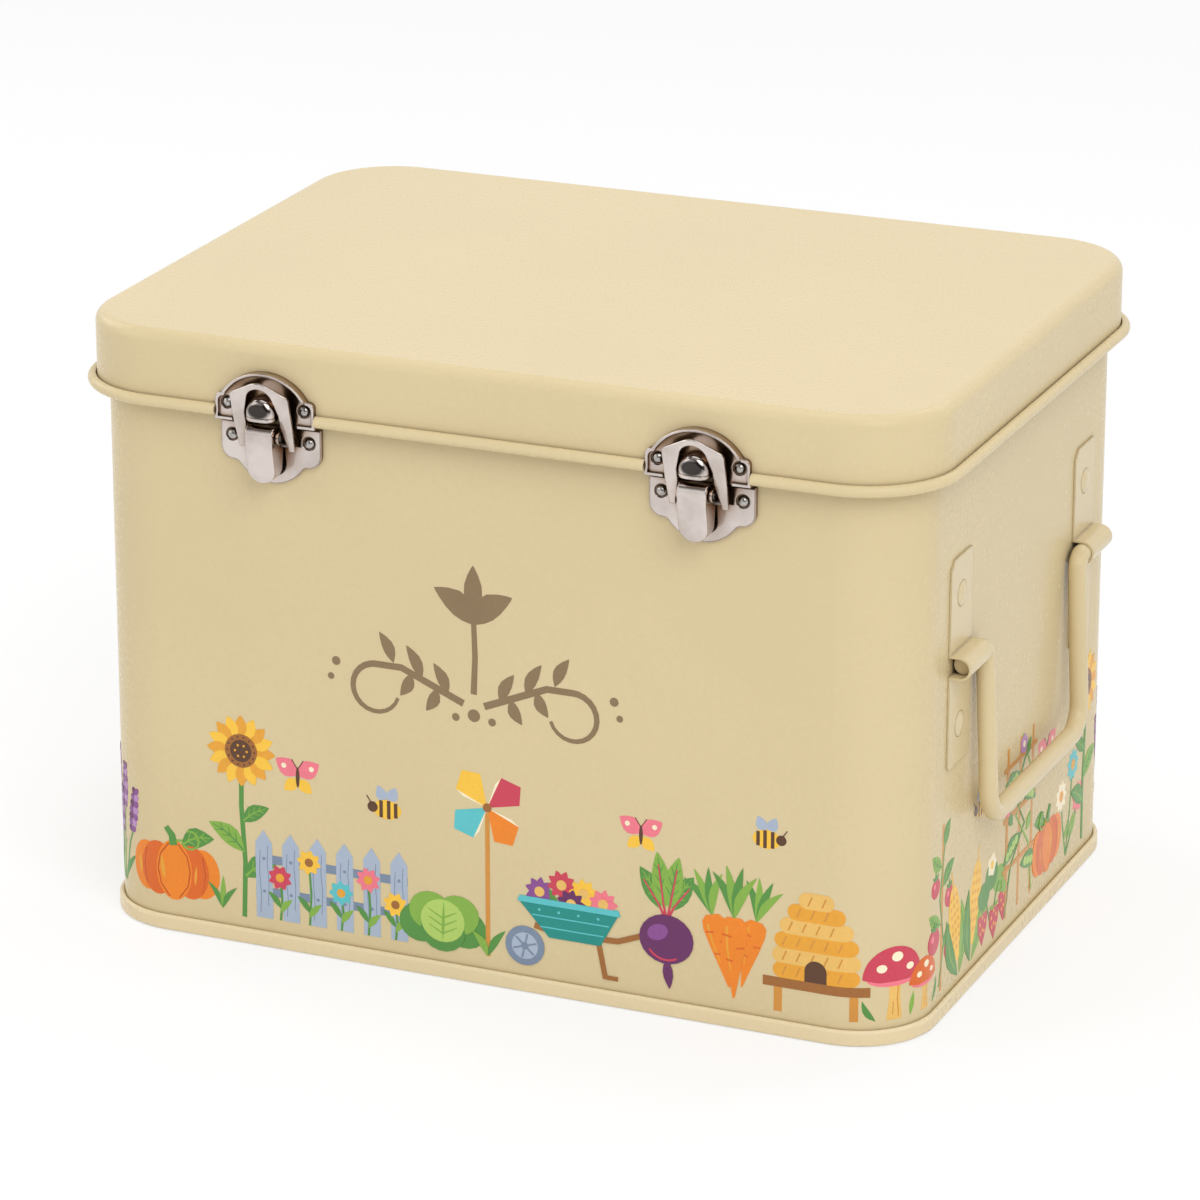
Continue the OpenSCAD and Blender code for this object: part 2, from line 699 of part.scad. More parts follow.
// Handle: one bent rod, its ends turned outwards into the saddles
module handle() color(cream) {
    half = leg_span / 2;
    grip_z = handle_z - grip_drop;
    translate([0, handle_z, rod_standoff]) rotate([-handle_lean, 0, 0]) translate([0, -handle_z, 0]) {
        for (s = [-1, 1]) {
            // journal in the saddle
            journal = rod_end_y - half - journal_bend;
            translate([s > 0 ? half + journal_bend : -rod_end_y, handle_z, 0])
                rotate([0, 90, 0]) cylinder(r = rod_r, h = journal);
            translate([s * (half + journal_bend), handle_z - journal_bend, 0])
                rotate([0, 0, s > 0 ? 90 : 0]) rotate_extrude(angle = 90)
                    translate([journal_bend, 0]) circle(rod_r);
            // leg
            translate([s * half, grip_z + grip_bend, 0]) rotate([-90, 0, 0])
                cylinder(r = rod_r, h = grip_drop - grip_bend - journal_bend);
            // corner of the grip
            translate([s * (half - grip_bend), grip_z + grip_bend, 0])
                rotate([0, 0, s > 0 ? 270 : 180]) rotate_extrude(angle = 90)
                    translate([grip_bend, 0]) circle(rod_r);
        }
        translate([-half + grip_bend, grip_z, 0]) rotate([0, 90, 0])
            cylinder(r = rod_r, h = leg_span - 2 * grip_bend);
    }
}

// A strap bracket: a strip with a saddle pressed out of its middle
module bracket() color(cream) difference() {
    union() {
        linear_extrude(strip_t) translate([0, handle_z]) difference() {
            square([strip_w, strip_l], center = true);
            for (sx = [-1, 1], sy = [-1, 1]) translate([sx * strip_w / 2, sy * strip_l / 2])
                rotate(45) square((sx < 0 && sy > 0 ? strip_cut : strip_nip) * sqrt(2), center = true);
        }
        across(strip_w) {
            translate([rod_standoff, handle_z]) circle(saddle_out);
            translate([0, handle_z - saddle_out]) square([rod_standoff, 2 * saddle_out]);
        }
    }
    across(strip_w + 2) {
        translate([rod_standoff, handle_z]) circle(saddle_in);
        translate([-1, handle_z - saddle_in]) square([rod_standoff + 1, 2 * saddle_in]);
    }
    rivet_holes(strip_rivet_places, strip_shank_r, 0, strip_t);
}

module bracket_rivets() color(cream) for (at = strip_rivet_places)
    rivet(at, -sheet, strip_t, strip_head_r, 1, strip_shank_r, 3.2);

// Partition: one upright sheet with a bent flange at each end, spot-welded to the end walls
module lower_partition() color(cream) {
    half = inner_w / 2;
    height = partition_top - partition_low;
    translate([-half, -divider_t / 2, partition_low]) cube([2 * half, divider_t, height]);
    for (s = [-1, 1]) translate([s > 0 ? half - divider_t : -half, 0, partition_low])
        cube([divider_t, partition_flange, height]);
}

// Ledge: an angle spot-welded to each end wall, notched clear of the partition's flange
module ledge() color(cream) difference() {
    union() {
        translate([-ledge_l / 2, ledge_top - ledge_drop, -sheet - ledge_t])
            cube([ledge_l, ledge_drop, ledge_t]);
        translate([-ledge_l / 2, ledge_top - ledge_t, -sheet - ledge_w])
            cube([ledge_l, ledge_t, ledge_w]);
    }
    notch_top = partition_top + 2;
    translate([-divider_t - 1, ledge_top - ledge_drop - 1, -sheet - ledge_t - 1])
        cube([partition_flange + divider_t + 2, notch_top - ledge_top + ledge_drop + 1, ledge_t + 2]);
}

// Tray with a rolled rim, and half-lapped dividers
module tray_profile() {
    translate([-tray_t, tray_low]) square([tray_t, tray_depth - tray_rim_r]);
    translate([tray_rim_r - tray_t, tray_rim_z - tray_rim_r]) ring(tray_rim_r, tray_t * 0.8);
}

module tray_pan() color(cream) {
    round_the_box(tray_w, tray_d, tray_r) tray_profile();
    translate([0, 0, tray_low]) linear_extrude(tray_t) slab(tray_w, tray_d, tray_r);
}

cell_w = tray_w / (cross_count + 1);
cross_x = [for (i = [1 : cross_count]) cell_w * i - tray_w / 2];
slot_x = cross_count % 2 == 1 ? [-cell_w / 2, cell_w / 2] : [0];
lap_z = (tray_floor + divider_top) / 2;

module lap_notch(x, y, low, high) {
    slit = divider_t + 2 * lap_gap;
    translate([x - slit / 2, y - slit / 2, low]) cube([slit, slit, high - low]);
}

module tray_long_divider() color(cream) difference() {
    length = tray_w - 2 * tray_t - 2 * lap_gap;
    translate([-length / 2, -divider_t / 2, tray_floor])
        cube([length, divider_t, divider_top - tray_floor]);
    for (x = cross_x) lap_notch(x, 0, lap_z, divider_top + 1);
    slot_half = min(slot_w, cell_w - 2 * slot_edge) / 2;
    slot_z = divider_top + 2 - slot_edge - slot_h / 2;
    for (x = slot_x) translate([x, 0, slot_z])
        rotate([90, 0, 0]) linear_extrude(4 * divider_t, center = true) {
            square([2 * slot_half - slot_h, slot_h], center = true);
            for (s = [-1, 1]) translate([s * (slot_half - slot_h / 2), 0]) circle(slot_h / 2);
        }
}

module tray_cross_dividers() color(cream) {
    width = tray_d - 2 * tray_t - 2 * lap_gap;
    for (x = cross_x) difference() {
        translate([x - divider_t / 2, -width / 2, tray_floor])
            cube([divider_t, width, divider_top - tray_floor]);
        lap_notch(x, 0, tray_floor - 1, lap_z);
    }
}

body_shell();
base_pan();
lid_shell();
on_front(-latch_x) catch_plate();  // left_catch_plate
on_front(latch_x) catch_plate();  // right_catch_plate
on_front(-latch_x) catch_rivets();  // left_catch_rivets
on_front(latch_x) catch_rivets();  // right_catch_rivets
on_front(-latch_x) latch_base();  // left_latch_base
on_front(latch_x) latch_base();  // right_latch_base
on_front(-latch_x) base_rivets();  // left_base_rivets
on_front(latch_x) base_rivets();  // right_base_rivets
on_front(-latch_x) lever();  // left_lever
on_front(latch_x) lever();  // right_lever
on_front(-latch_x) lever_pin();  // left_lever_pin
on_front(latch_x) lever_pin();  // right_lever_pin
on_front(-latch_x) link();  // left_link
on_front(latch_x) link();  // right_link
on_front(-latch_x) link_pin();  // left_link_pin
on_front(latch_x) link_pin();  // right_link_pin
on_back(-hinge_x) hinge_body_leaf();  // left_hinge_body_leaf
on_back(hinge_x) hinge_body_leaf();  // right_hinge_body_leaf
on_back(-hinge_x) hinge_lid_leaf();  // left_hinge_lid_leaf
on_back(hinge_x) hinge_lid_leaf();  // right_hinge_lid_leaf
on_back(-hinge_x) hinge_pin();  // left_hinge_pin
on_back(hinge_x) hinge_pin();  // right_hinge_pin
on_back(-hinge_x) hinge_body_rivets();  // left_hinge_body_rivets
on_back(hinge_x) hinge_body_rivets();  // right_hinge_body_rivets
on_back(-hinge_x) hinge_lid_rivets();  // left_hinge_lid_rivets
on_back(hinge_x) hinge_lid_rivets();  // right_hinge_lid_rivets
on_left() handle();  // left_handle
on_right() handle();  // right_handle
on_left(-bracket_y) bracket();  // left_front_bracket
on_left(bracket_y) bracket();  // left_rear_bracket
on_right(-bracket_y) bracket();  // right_front_bracket
on_right(bracket_y) bracket();  // right_rear_bracket
union() {  // left_bracket_rivets
    on_left(-bracket_y) bracket_rivets();
    on_left(bracket_y) bracket_rivets();
}
union() {  // right_bracket_rivets
    on_right(-bracket_y) bracket_rivets();
    on_right(bracket_y) bracket_rivets();
}
lower_partition();
on_left() ledge();  // left_ledge
on_right() ledge();  // right_ledge
tray_pan();
tray_long_divider();
tray_cross_dividers();
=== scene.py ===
import math

import bmesh
import bpy
from mathutils import Matrix, Vector
from mathutils.geometry import tessellate_polygon


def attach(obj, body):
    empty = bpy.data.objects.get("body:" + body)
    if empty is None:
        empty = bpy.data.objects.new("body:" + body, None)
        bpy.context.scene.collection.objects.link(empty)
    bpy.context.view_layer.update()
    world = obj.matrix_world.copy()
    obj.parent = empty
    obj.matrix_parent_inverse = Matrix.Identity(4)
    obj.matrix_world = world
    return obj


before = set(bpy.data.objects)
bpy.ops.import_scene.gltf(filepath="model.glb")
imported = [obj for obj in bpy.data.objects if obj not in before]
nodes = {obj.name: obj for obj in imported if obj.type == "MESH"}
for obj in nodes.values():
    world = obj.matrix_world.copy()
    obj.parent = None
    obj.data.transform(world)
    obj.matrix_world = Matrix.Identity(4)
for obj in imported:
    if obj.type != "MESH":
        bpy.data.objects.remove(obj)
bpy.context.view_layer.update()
mm = 0.001


# Node helpers: a value is either another node's socket or a plain number, vector or colour
def feed(tree, socket, value):
    if isinstance(value, bpy.types.NodeSocket):
        tree.links.new(value, socket)
    else:
        socket.default_value = value


def addNode(tree, kind, settings=None, **inputs):
    node = tree.nodes.new(kind)
    for key, value in (settings or {}).items():
        setattr(node, key, value)
    for key, value in inputs.items():
        feed(tree, node.inputs[key.replace("_", " ")], value)
    return node


def maths(tree, operation, *values, kind="ShaderNodeMath"):
    node = addNode(tree, kind, {"operation": operation})
    for socket, value in zip(node.inputs, values):
        feed(tree, socket, value)
    return node.outputs["Value"] if operation == "DOT_PRODUCT" else node.outputs[0]


def vectorMaths(tree, operation, *values):
    return maths(tree, operation, *values, kind="ShaderNodeVectorMath")


def average(tree, a, b):
    return maths(tree, "MULTIPLY", maths(tree, "ADD", a, b), 0.5)


def mapRange(tree, value, span, toLow, toHigh):
    node = addNode(tree, "ShaderNodeMapRange", Value=value, To_Min=toLow, To_Max=toHigh)
    node.inputs["From Min"].default_value, node.inputs["From Max"].default_value = span
    return node.outputs["Result"]


def mixColour(tree, factor, a, b):
    node = addNode(tree, "ShaderNodeMix", {"data_type": "RGBA"})
    colourSockets = [socket for socket in node.inputs if socket.type == "RGBA"]
    for socket, value in zip([node.inputs[0]] + colourSockets, (factor, a, b)):
        feed(tree, socket, value)
    return next(socket for socket in node.outputs if socket.type == "RGBA")


def noise(tree, coords, scale, detail=2.0, rough=0.5):
    return addNode(tree, "ShaderNodeTexNoise", Vector=coords, Scale=scale, Detail=detail,
                   Roughness=rough).outputs["Fac"]


# How open a point is to its surroundings, from 0 in a deep recess to 1
def openness(tree, reach, samples):
    return addNode(tree, "ShaderNodeAmbientOcclusion", {"samples": samples}, Distance=reach).outputs["AO"]


def bump(tree, height, strength, distance, normal=None):
    node = addNode(tree, "ShaderNodeBump", Height=height, Strength=strength, Distance=distance)
    if normal is not None:
        feed(tree, node.inputs["Normal"], normal)
    return node.outputs["Normal"]


def softEdges(tree, radius, samples=4):
    return addNode(tree, "ShaderNodeBevel", {"samples": samples}, Radius=radius).outputs["Normal"]


# Where the rounded normal leaves the true one, there is an edge
def edgeMask(tree, rounded, span):
    trueNormal = tree.nodes.new("ShaderNodeNewGeometry").outputs["Normal"]
    return mapRange(tree, vectorMaths(tree, "DOT_PRODUCT", rounded, trueNormal), span, 1.0, 0.0)


# A new material on Object coordinates, and what sets its shader's sockets
def newMaterial(name):
    mat = bpy.data.materials.new(name)
    mat.use_nodes = True
    tree = mat.node_tree
    return mat, tree, addNode(tree, "ShaderNodeTexCoord").outputs["Object"]


def setShader(tree, **sockets):
    shader = tree.nodes["Principled BSDF"]
    for name, value in sockets.items():
        feed(tree, shader.inputs[name.replace("_", " ")], value)


def linear(r, g, b):
    def channel(c):
        c /= 255
        return c / 12.92 if c <= 0.04045 else ((c + 0.055) / 1.055) ** 2.4
    return (channel(r), channel(g), channel(b), 1.0)


# Glossy cream enamel, lighter on rounded edges as painted highlight (partly thinner enamel there) and darker
# in recesses as painted shade: reaches and depths in metres, spans are the part of a pattern that is used
enamelLook = {
    "tint": linear(217, 199, 158), "shade": linear(214, 196, 155), "edge": linear(228, 210, 171),
    "fleck": linear(190, 170, 130), "paintedShade": linear(96, 74, 46),
    "waveScale": 9.0, "waveSpan": (0.35, 0.65), "wave": 0.02, "waveDepth": 0.004,
    "peelScale": 700.0, "peel": 0.012, "peelDepth": 0.0002,
    "grainScale": 420.0, "grainSpan": (0.3, 0.7), "fleckMost": 0.012,
    "roughLow": 0.24, "roughHigh": 0.3, "specular": 0.13, "coat": 0.05, "coatRough": 0.06,
    "edgeRadius": 0.0005, "edgeSpan": (0.9, 0.995), "highlightShare": 0.5,
    # Painted shade in recesses: how far it looks, its samples, span and strength
    "paintedShadeReach": 0.002, "paintedShadeSamples": 6, "paintedShadeSpan": (0.2, 0.6), "paintedShadeMost": 0.4,
}


def enamel(name, changes=None):
    look = {**enamelLook, **(changes or {})}
    mat, tree, coords = newMaterial(name)
    broad = noise(tree, coords, look["waveScale"], detail=3.0)
    grain = noise(tree, coords, look["grainScale"], detail=3.0)
    peel = noise(tree, coords, look["peelScale"], detail=1.0)
    rounded = softEdges(tree, look["edgeRadius"])
    edge = edgeMask(tree, rounded, look["edgeSpan"])
    colour = mixColour(tree, mapRange(tree, broad, look["waveSpan"], 0.0, 1.0), look["shade"], look["tint"])
    # Lighter on rounded edges: painted highlight, partly thinner enamel there
    colour = mixColour(tree, maths(tree, "MULTIPLY", edge, look["highlightShare"]), colour, look["edge"])
    fleck = mapRange(tree, grain, look["grainSpan"], 0.0, look["fleckMost"])
    colour = mixColour(tree, fleck, colour, look["fleck"])
    # Darker and browner in recesses and gaps between parts: painted shade
    recessShade = openness(tree, look["paintedShadeReach"], look["paintedShadeSamples"])
    colour = mixColour(tree, mapRange(tree, recessShade, look["paintedShadeSpan"], look["paintedShadeMost"], 0.0), colour,
                       look["paintedShade"])
    rough = mapRange(tree, average(tree, broad, grain), look["waveSpan"], look["roughLow"], look["roughHigh"])
    normal = bump(tree, broad, look["wave"], look["waveDepth"], rounded)
    normal = bump(tree, peel, look["peel"], look["peelDepth"], normal)
    setShader(tree, Base_Color=colour, Roughness=rough, Normal=normal, Specular_IOR_Level=look["specular"],
              Coat_Weight=look["coat"], Coat_Roughness=look["coatRough"])
    return mat


# Bright nickel plate on pressed steel, with painted shade in its recesses: brown like tarnish, and near black
# in the deepest
nickelLook = {
    "bright": linear(216, 206, 200), "dull": linear(196, 185, 178), "brown": linear(134, 96, 56),
    "deepShade": linear(24, 19, 17),
    "cloudScale": 70.0, "cloudSpan": (0.38, 0.62), "cloud": 0.1, "cloudDepth": 0.0016,
    "grainScale": 2600.0, "grain": 0.03, "grainDepth": 0.0001, "edgeRadius": 0.0007, "edgeSamples": 8,
    "roughLow": 0.1, "roughHigh": 0.17, "roughSpan": (0.3, 0.7), "roughBrown": 0.3,
    "wideReach": 0.0085, "wideSamples": 10, "hollowShadeSpan": (0.45, 0.86), "hollowShadeMost": 0.95,
    "deepSpan": (0.12, 0.45), "closeReach": 0.0013, "closeSamples": 8, "closeSpan": (0.3, 0.75),
    "closeMost": 0.9,
    # Where the painted dark reflection on each boss lies, and how strong it is
    "darkBossReflection": False, "bossX": 0.0833, "bossZ": 0.2122, "bossWide": 0.0052, "bossHigh": 0.0034,
    "bossSpan": (0.45, 0.95), "bossMost": 0.92,
}


# Painted dark reflection on the front of each catch plate's boss
def bossReflectionMask(tree, coords, look):
    axes = addNode(tree, "ShaderNodeSeparateXYZ", Vector=coords).outputs
    squares = []
    for value, middle, half in ((maths(tree, "ABSOLUTE", axes["X"]), look["bossX"], look["bossWide"]),
                                (axes["Z"], look["bossZ"], look["bossHigh"])):
        offset = maths(tree, "DIVIDE", maths(tree, "SUBTRACT", value, middle), half)
        squares.append(maths(tree, "POWER", maths(tree, "ABSOLUTE", offset), 2.0))
    return mapRange(tree, maths(tree, "ADD", *squares), look["bossSpan"], look["bossMost"], 0.0)


def nickel(name, changes=None):
    look = {**nickelLook, **(changes or {})}
    mat, tree, coords = newMaterial(name)
    cloud = noise(tree, coords, look["cloudScale"], detail=3.0, rough=0.55)
    grain = noise(tree, coords, look["grainScale"])
    rounded = softEdges(tree, look["edgeRadius"], look["edgeSamples"])
    wide = openness(tree, look["wideReach"], look["wideSamples"])
    close = openness(tree, look["closeReach"], look["closeSamples"])
    colour = mixColour(tree, mapRange(tree, cloud, look["cloudSpan"], 0.0, 1.0), look["dull"], look["bright"])
    # Brown in recesses and near black in the deepest: painted shade
    hollowShade = mapRange(tree, wide, look["hollowShadeSpan"], look["hollowShadeMost"], 0.0)
    colour = mixColour(tree, hollowShade, colour, look["brown"])
    colour = mixColour(tree, mapRange(tree, wide, look["deepSpan"], 1.0, 0.0), colour, look["deepShade"])
    # Near black in tight gaps, such as the rings round rivet heads: painted shade
    colour = mixColour(tree, mapRange(tree, close, look["closeSpan"], look["closeMost"], 0.0), colour,
                       look["deepShade"])
    # A dark patch on the boss front: painted dark reflection
    if look["darkBossReflection"]:
        colour = mixColour(tree, bossReflectionMask(tree, coords, look), colour, look["deepShade"])
    plain = mapRange(tree, cloud, look["roughSpan"], look["roughLow"], look["roughHigh"])
    rough = maths(tree, "MAXIMUM", plain, maths(tree, "MULTIPLY", hollowShade, look["roughBrown"]))
    normal = bump(tree, cloud, look["cloud"], look["cloudDepth"], rounded)
    normal = bump(tree, grain, look["grain"], look["grainDepth"], normal)
    setShader(tree, Base_Color=colour, Metallic=1.0, Roughness=rough, Normal=normal)
    return mat


# Zinc rivets and steel pins, near black in their recesses as painted shade
fastenerLook = {
    # The recess colour is painted shade
    "light": linear(188, 184, 180), "dark": linear(150, 146, 142), "recessShade": linear(24, 20, 18),
    "cellScale": 1500.0, "cloudScale": 700.0, "cloudSpan": (0.3, 0.7), "rough": 0.24, "roughSpread": 0.08,
    "spangleShare": 0.6, "spangleSpan": (0.3, 0.75), "spangle": 0.12, "spangleDepth": 0.0003,
    "recessReach": 0.0015, "recessSamples": 8, "recessSpan": (0.35, 0.85), "recessMost": 0.92,
    "edgeRadius": 0.0002,
}


def fastener(name, changes=None):
    look = {**fastenerLook, **(changes or {})}
    mat, tree, coords = newMaterial(name)
    cells = addNode(tree, "ShaderNodeTexVoronoi", Vector=coords, Scale=look["cellScale"]).outputs["Distance"]
    cloud = noise(tree, coords, look["cloudScale"], detail=3.0)
    spangle = maths(tree, "MULTIPLY", maths(tree, "ADD", cells, cloud), look["spangleShare"])
    brightness = mapRange(tree, spangle, look["spangleSpan"], 0.0, 1.0)
    colour = mixColour(tree, brightness, look["dark"], look["light"])
    # Near black round the heads and in recesses: painted shade
    recessShade = openness(tree, look["recessReach"], look["recessSamples"])
    colour = mixColour(tree, mapRange(tree, recessShade, look["recessSpan"], look["recessMost"], 0.0), colour,
                       look["recessShade"])
    rough = mapRange(tree, cloud, look["cloudSpan"], look["rough"] - look["roughSpread"],
                     look["rough"] + look["roughSpread"])
    normal = bump(tree, spangle, look["spangle"], look["spangleDepth"], softEdges(tree, look["edgeRadius"]))
    setShader(tree, Base_Color=colour, Metallic=1.0, Roughness=rough, Normal=normal)
    return mat


# Finishes by the record's material slot, and two that belong to certain nodes
finishes = {
    "body_enamel": enamel("bodyEnamel"),
    "lid_enamel": enamel("lidEnamel"),
    # On the handles and brackets the painted shade in recesses is darker and reaches further
    "hardware_enamel": enamel("hardwareEnamel", {
        "specular": 0.3, "roughLow": 0.18, "roughHigh": 0.26, "edgeRadius": 0.0006,
        "paintedShade": linear(52, 38, 24), "paintedShadeReach": 0.003, "paintedShadeMost": 0.95}),
    "inside_enamel": enamel("insideEnamel", {"roughLow": 0.34, "roughHigh": 0.46, "coat": 0.0}),
    "nickel_plate": nickel("nickelPlate"),
    "zinc_rivet": fastener("zincRivet"),
    "steel_pin": fastener("steelPin", {
        "rough": 0.3, "light": linear(166, 160, 156), "dark": linear(120, 114, 110)}),
}
# The catch plates' nickel, with the painted dark reflection on each boss
catchNickelWithReflection = nickel("catchNickel", {"darkBossReflection": True})
nodeFinishes = {
    "left_catch_plate": catchNickelWithReflection,
    "right_catch_plate": catchNickelWithReflection,
    # The base pan: a lighter copy of the body enamel, as painted light on the rim, with a strong painted
    # highlight on its edges
    "base_pan": enamel("baseEnamel", {
        "tint": linear(229, 211, 172), "shade": linear(226, 208, 169), "edge": linear(252, 240, 208),
        "edgeRadius": 0.0012, "highlightShare": 0.9, "paintedShadeMost": 0.1}),
}
for name, node in nodes.items():
    for slot in node.material_slots:
        slotName = slot.material.name.split(".")[0] if slot.material else ""
        slot.material = nodeFinishes.get(name, finishes.get(slotName, slot.material))
print("enamel, nickel and fasteners on", len(nodes), "nodes")


# Turns a shape by degrees, sizes it and moves it to x, y
def mover(x, y, degrees=0.0, size=1.0):
    c, d = math.cos(math.radians(degrees)), math.sin(math.radians(degrees))
    def put(points):
        return [(x + (u * c - v * d) * size, y + (u * d + v * c) * size) for u, v in points]
    return put


# Flat shapes, in millimetres
def disc(x, y, rx, ry=None, turn=0.0, n=22):
    ry = rx if ry is None else ry
    ring = [(rx * math.cos(2 * math.pi * i / n), ry * math.sin(2 * math.pi * i / n)) for i in range(n)]
    return mover(x, y, turn)(ring)


bladeProfile = [(0.08, 0.3), (0.22, 0.72), (0.4, 1.0), (0.6, 0.94), (0.8, 0.58), (0.93, 0.24)]


def blade(x0, y0, x1, y1, width, curve=0.0):
    dx, dy = x1 - x0, y1 - y0
    length = math.hypot(dx, dy)
    nx, ny = -dy / length, dx / length
    def at(t, w):
        off = curve * math.sin(math.pi * t) + w * width / 2
        return (x0 + dx * t + nx * off, y0 + dy * t + ny * off)
    right, left = [at(t, -w) for t, w in bladeProfile], [at(t, w) for t, w in reversed(bladeProfile)]
    return [at(0, 0)] + right + [at(1, 0)] + left


def ribbon(points, width, taper=1.0):
    left, right = [], []
    count = len(points)
    for i, (x, y) in enumerate(points):
        ax, ay = points[max(i - 1, 0)]
        bx, by = points[min(i + 1, count - 1)]
        length = math.hypot(bx - ax, by - ay)
        w = width / 2 * (1 + (taper - 1) * i / (count - 1))
        nx, ny = -(by - ay) / length * w, (bx - ax) / length * w
        left.append((x + nx, y + ny))
        right.append((x - nx, y - ny))
    return left + right[::-1]


def arc(x, y, r, start, end, n=10):
    steps = [math.radians(start + (end - start) * i / n) for i in range(n + 1)]
    return [(x + r * math.cos(a), y + r * math.sin(a)) for a in steps]


# Shares of a bloom's radius, and of the room that a petal has on its rim
bloomLook = {"petalWidth": 0.72, "petalStart": 0.15, "heart": 0.34}


def bloom(x, y, r, petals, paint, heart, width=None, turn=0.0):
    width = width or 2 * math.pi * r / petals * bloomLook["petalWidth"]
    petal = blade(bloomLook["petalStart"] * r, 0, r, 0, width)
    parts = [(paint, mover(x, y, turn + 360 * i / petals)(petal)) for i in range(petals)]
    return parts + [(heart, disc(x, y, r * bloomLook["heart"]))]


# Shares of a leaf's width, and where its side veins start with how far out they reach
leafLook = {
    "vein": 0.11, "sideVein": 0.07, "rise": 0.15, "sideVeins": ((0.26, 0.33), (0.45, 0.28), (0.64, 0.23)),
}


def leafShape(paint, vein, x0, y0, x1, y1, width, curve=0.0):
    dx, dy = x1 - x0, y1 - y0
    length = math.hypot(dx, dy)
    def at(t, w):
        off = curve * math.sin(math.pi * t) + w
        return (x0 + dx * t - dy / length * off, y0 + dy * t + dx / length * off)
    parts = [(paint, blade(x0, y0, x1, y1, width, curve)),
             (vein, ribbon([at(t, 0) for t in (0.04, 0.3, 0.6, 0.9)], width * leafLook["vein"], 0.4))]
    for t, reach in leafLook["sideVeins"]:
        for side in (-1, 1):
            line = [at(t, 0), at(t + leafLook["rise"], side * reach * width)]
            parts.append((vein, ribbon(line, width * leafLook["sideVein"], 0.5)))
    return parts


# Motifs of the garden border: lists of (paint, shape) from back to front
def sunflower():
    parts = [("leaf", ribbon([(0, 0), (0.8, 22), (-0.4, 44), (0, 62)], 1.9))]
    parts += leafShape("leaf", "grass", 0.4, 16, 15, 25, 8, 1.5)
    parts += leafShape("grass", "leaf", 0.6, 26, -14, 36, 7.5, -1.5)
    parts += leafShape("leaf", "grass", 0, 38, 11, 45, 6, 1)
    for i in range(16):
        parts.append(("sun" if i % 2 else "amber", mover(0, 66, 22.5 * i)(blade(5, 0, 14, 0, 5))))
    parts += [("bark", disc(0, 66, 6.6)), ("cocoa", disc(0, 66, 4.4))]
    parts += [("amber", disc(x, y, 0.5, n=8)) for x, y in disc(0, 66, 2.4, n=6)]
    return parts + [("cocoa", disc(x, y, 0.45, n=6)) for x, y in disc(0, 66, 5.5, n=14)]


def pumpkin():
    parts = leafShape("leaf", "grass", 3, 22, 17, 27, 8, 2)
    for x, w, paint in ((-12, 7, "orange"), (12, 7, "orange"), (-7, 7.5, "tangerine"), (7, 7.5, "tangerine"),
                        (0, 7.5, "orange")):
        parts.append((paint, disc(x, 12, w, 12 - abs(x) * 0.18)))
    parts += [("amber", blade(-4, 8, -5.5, 18, 1.6)), ("amber", blade(-15, 8, -15.8, 16, 1.4)),
              ("amber", blade(8.6, 7, 9.4, 15, 1.0))]
    parts += [("rust", ribbon([(x * 0.35, 22.6), (x, 18), (x * 1.2, 12), (x, 6), (x * 0.35, 1.2)], 0.6))
              for x in (-5.6, 5.6)]
    parts += [("rust", ribbon([(x, 19), (x * 1.09, 12), (x, 4.6)], 0.6, 0.6)) for x in (-12, 12)]
    return parts + [("leaf", ribbon([(0, 22), (-0.6, 26), (-3, 29)], 3.4, 0.6)),
                    ("grass", ribbon([(1, 24)] + arc(7, 25, 3.6, 190, 470, 14), 0.8))]


def carrots():
    parts = []
    root = [(-4.6, -1.5), (-4.9, -5), (-3.8, -12), (-1.9, -21), (-0.3, -29), (0.3, -29), (1.9, -21),
            (3.8, -12), (4.9, -5), (4.6, -1.5), (2.6, 0.5), (-2.6, 0.5)]
    for x, lean, size in ((-8, 14, 0.9), (8, -12, 0.86), (0, 0, 1.0)):
        put = mover(x, 30, lean, size)
        for paint, tip in (("leaf", -8), ("grass", -3), ("leaf", 3), ("grass", 8)):
            parts.append((paint, put(blade(0, 0, tip, 21 - abs(tip) * 0.6, 3.4, tip * 0.2))))
        parts.append(("orange", put(root)))
        parts += [("amber", put(ribbon([(-2.7, -3), (-2.5, -10), (-1.2, -19)], 0.9, 0.5))),
                  ("tangerine", put(ribbon([(-4.4, -6), (-0.8, -6.6)], 0.8))),
                  ("tangerine", put(ribbon([(3.9, -10), (0.9, -10.6)], 0.8))),
                  ("tangerine", put(ribbon([(-2.9, -15), (-0.3, -15.5)], 0.7)))]
    return parts


def beet():
    parts = []
    for tip, high, paint, vein in ((-11, 40, "leaf", "grass"), (11, 39, "leaf", "grass"),
                                   (-4, 47, "grass", "leaf"), (5, 46, "grass", "leaf")):
        parts += leafShape(paint, vein, tip * 0.25, 24, tip, high, 8, tip * 0.1)
        parts.append(("rose", ribbon([(0, 19), (tip * 0.3, 26), (tip * 0.85, high - 5)], 1.1, 0.5)))
    parts += [("plum", disc(0, 12, 11, 10)), ("plum", blade(0, 4, 1.5, -8, 4)),
              ("violet", disc(-3.5, 14.5, 4.4, 3.2, 25))]
    return parts + [("rose", ribbon(arc(0, 12, 8.4, 215, 300), 0.8))]


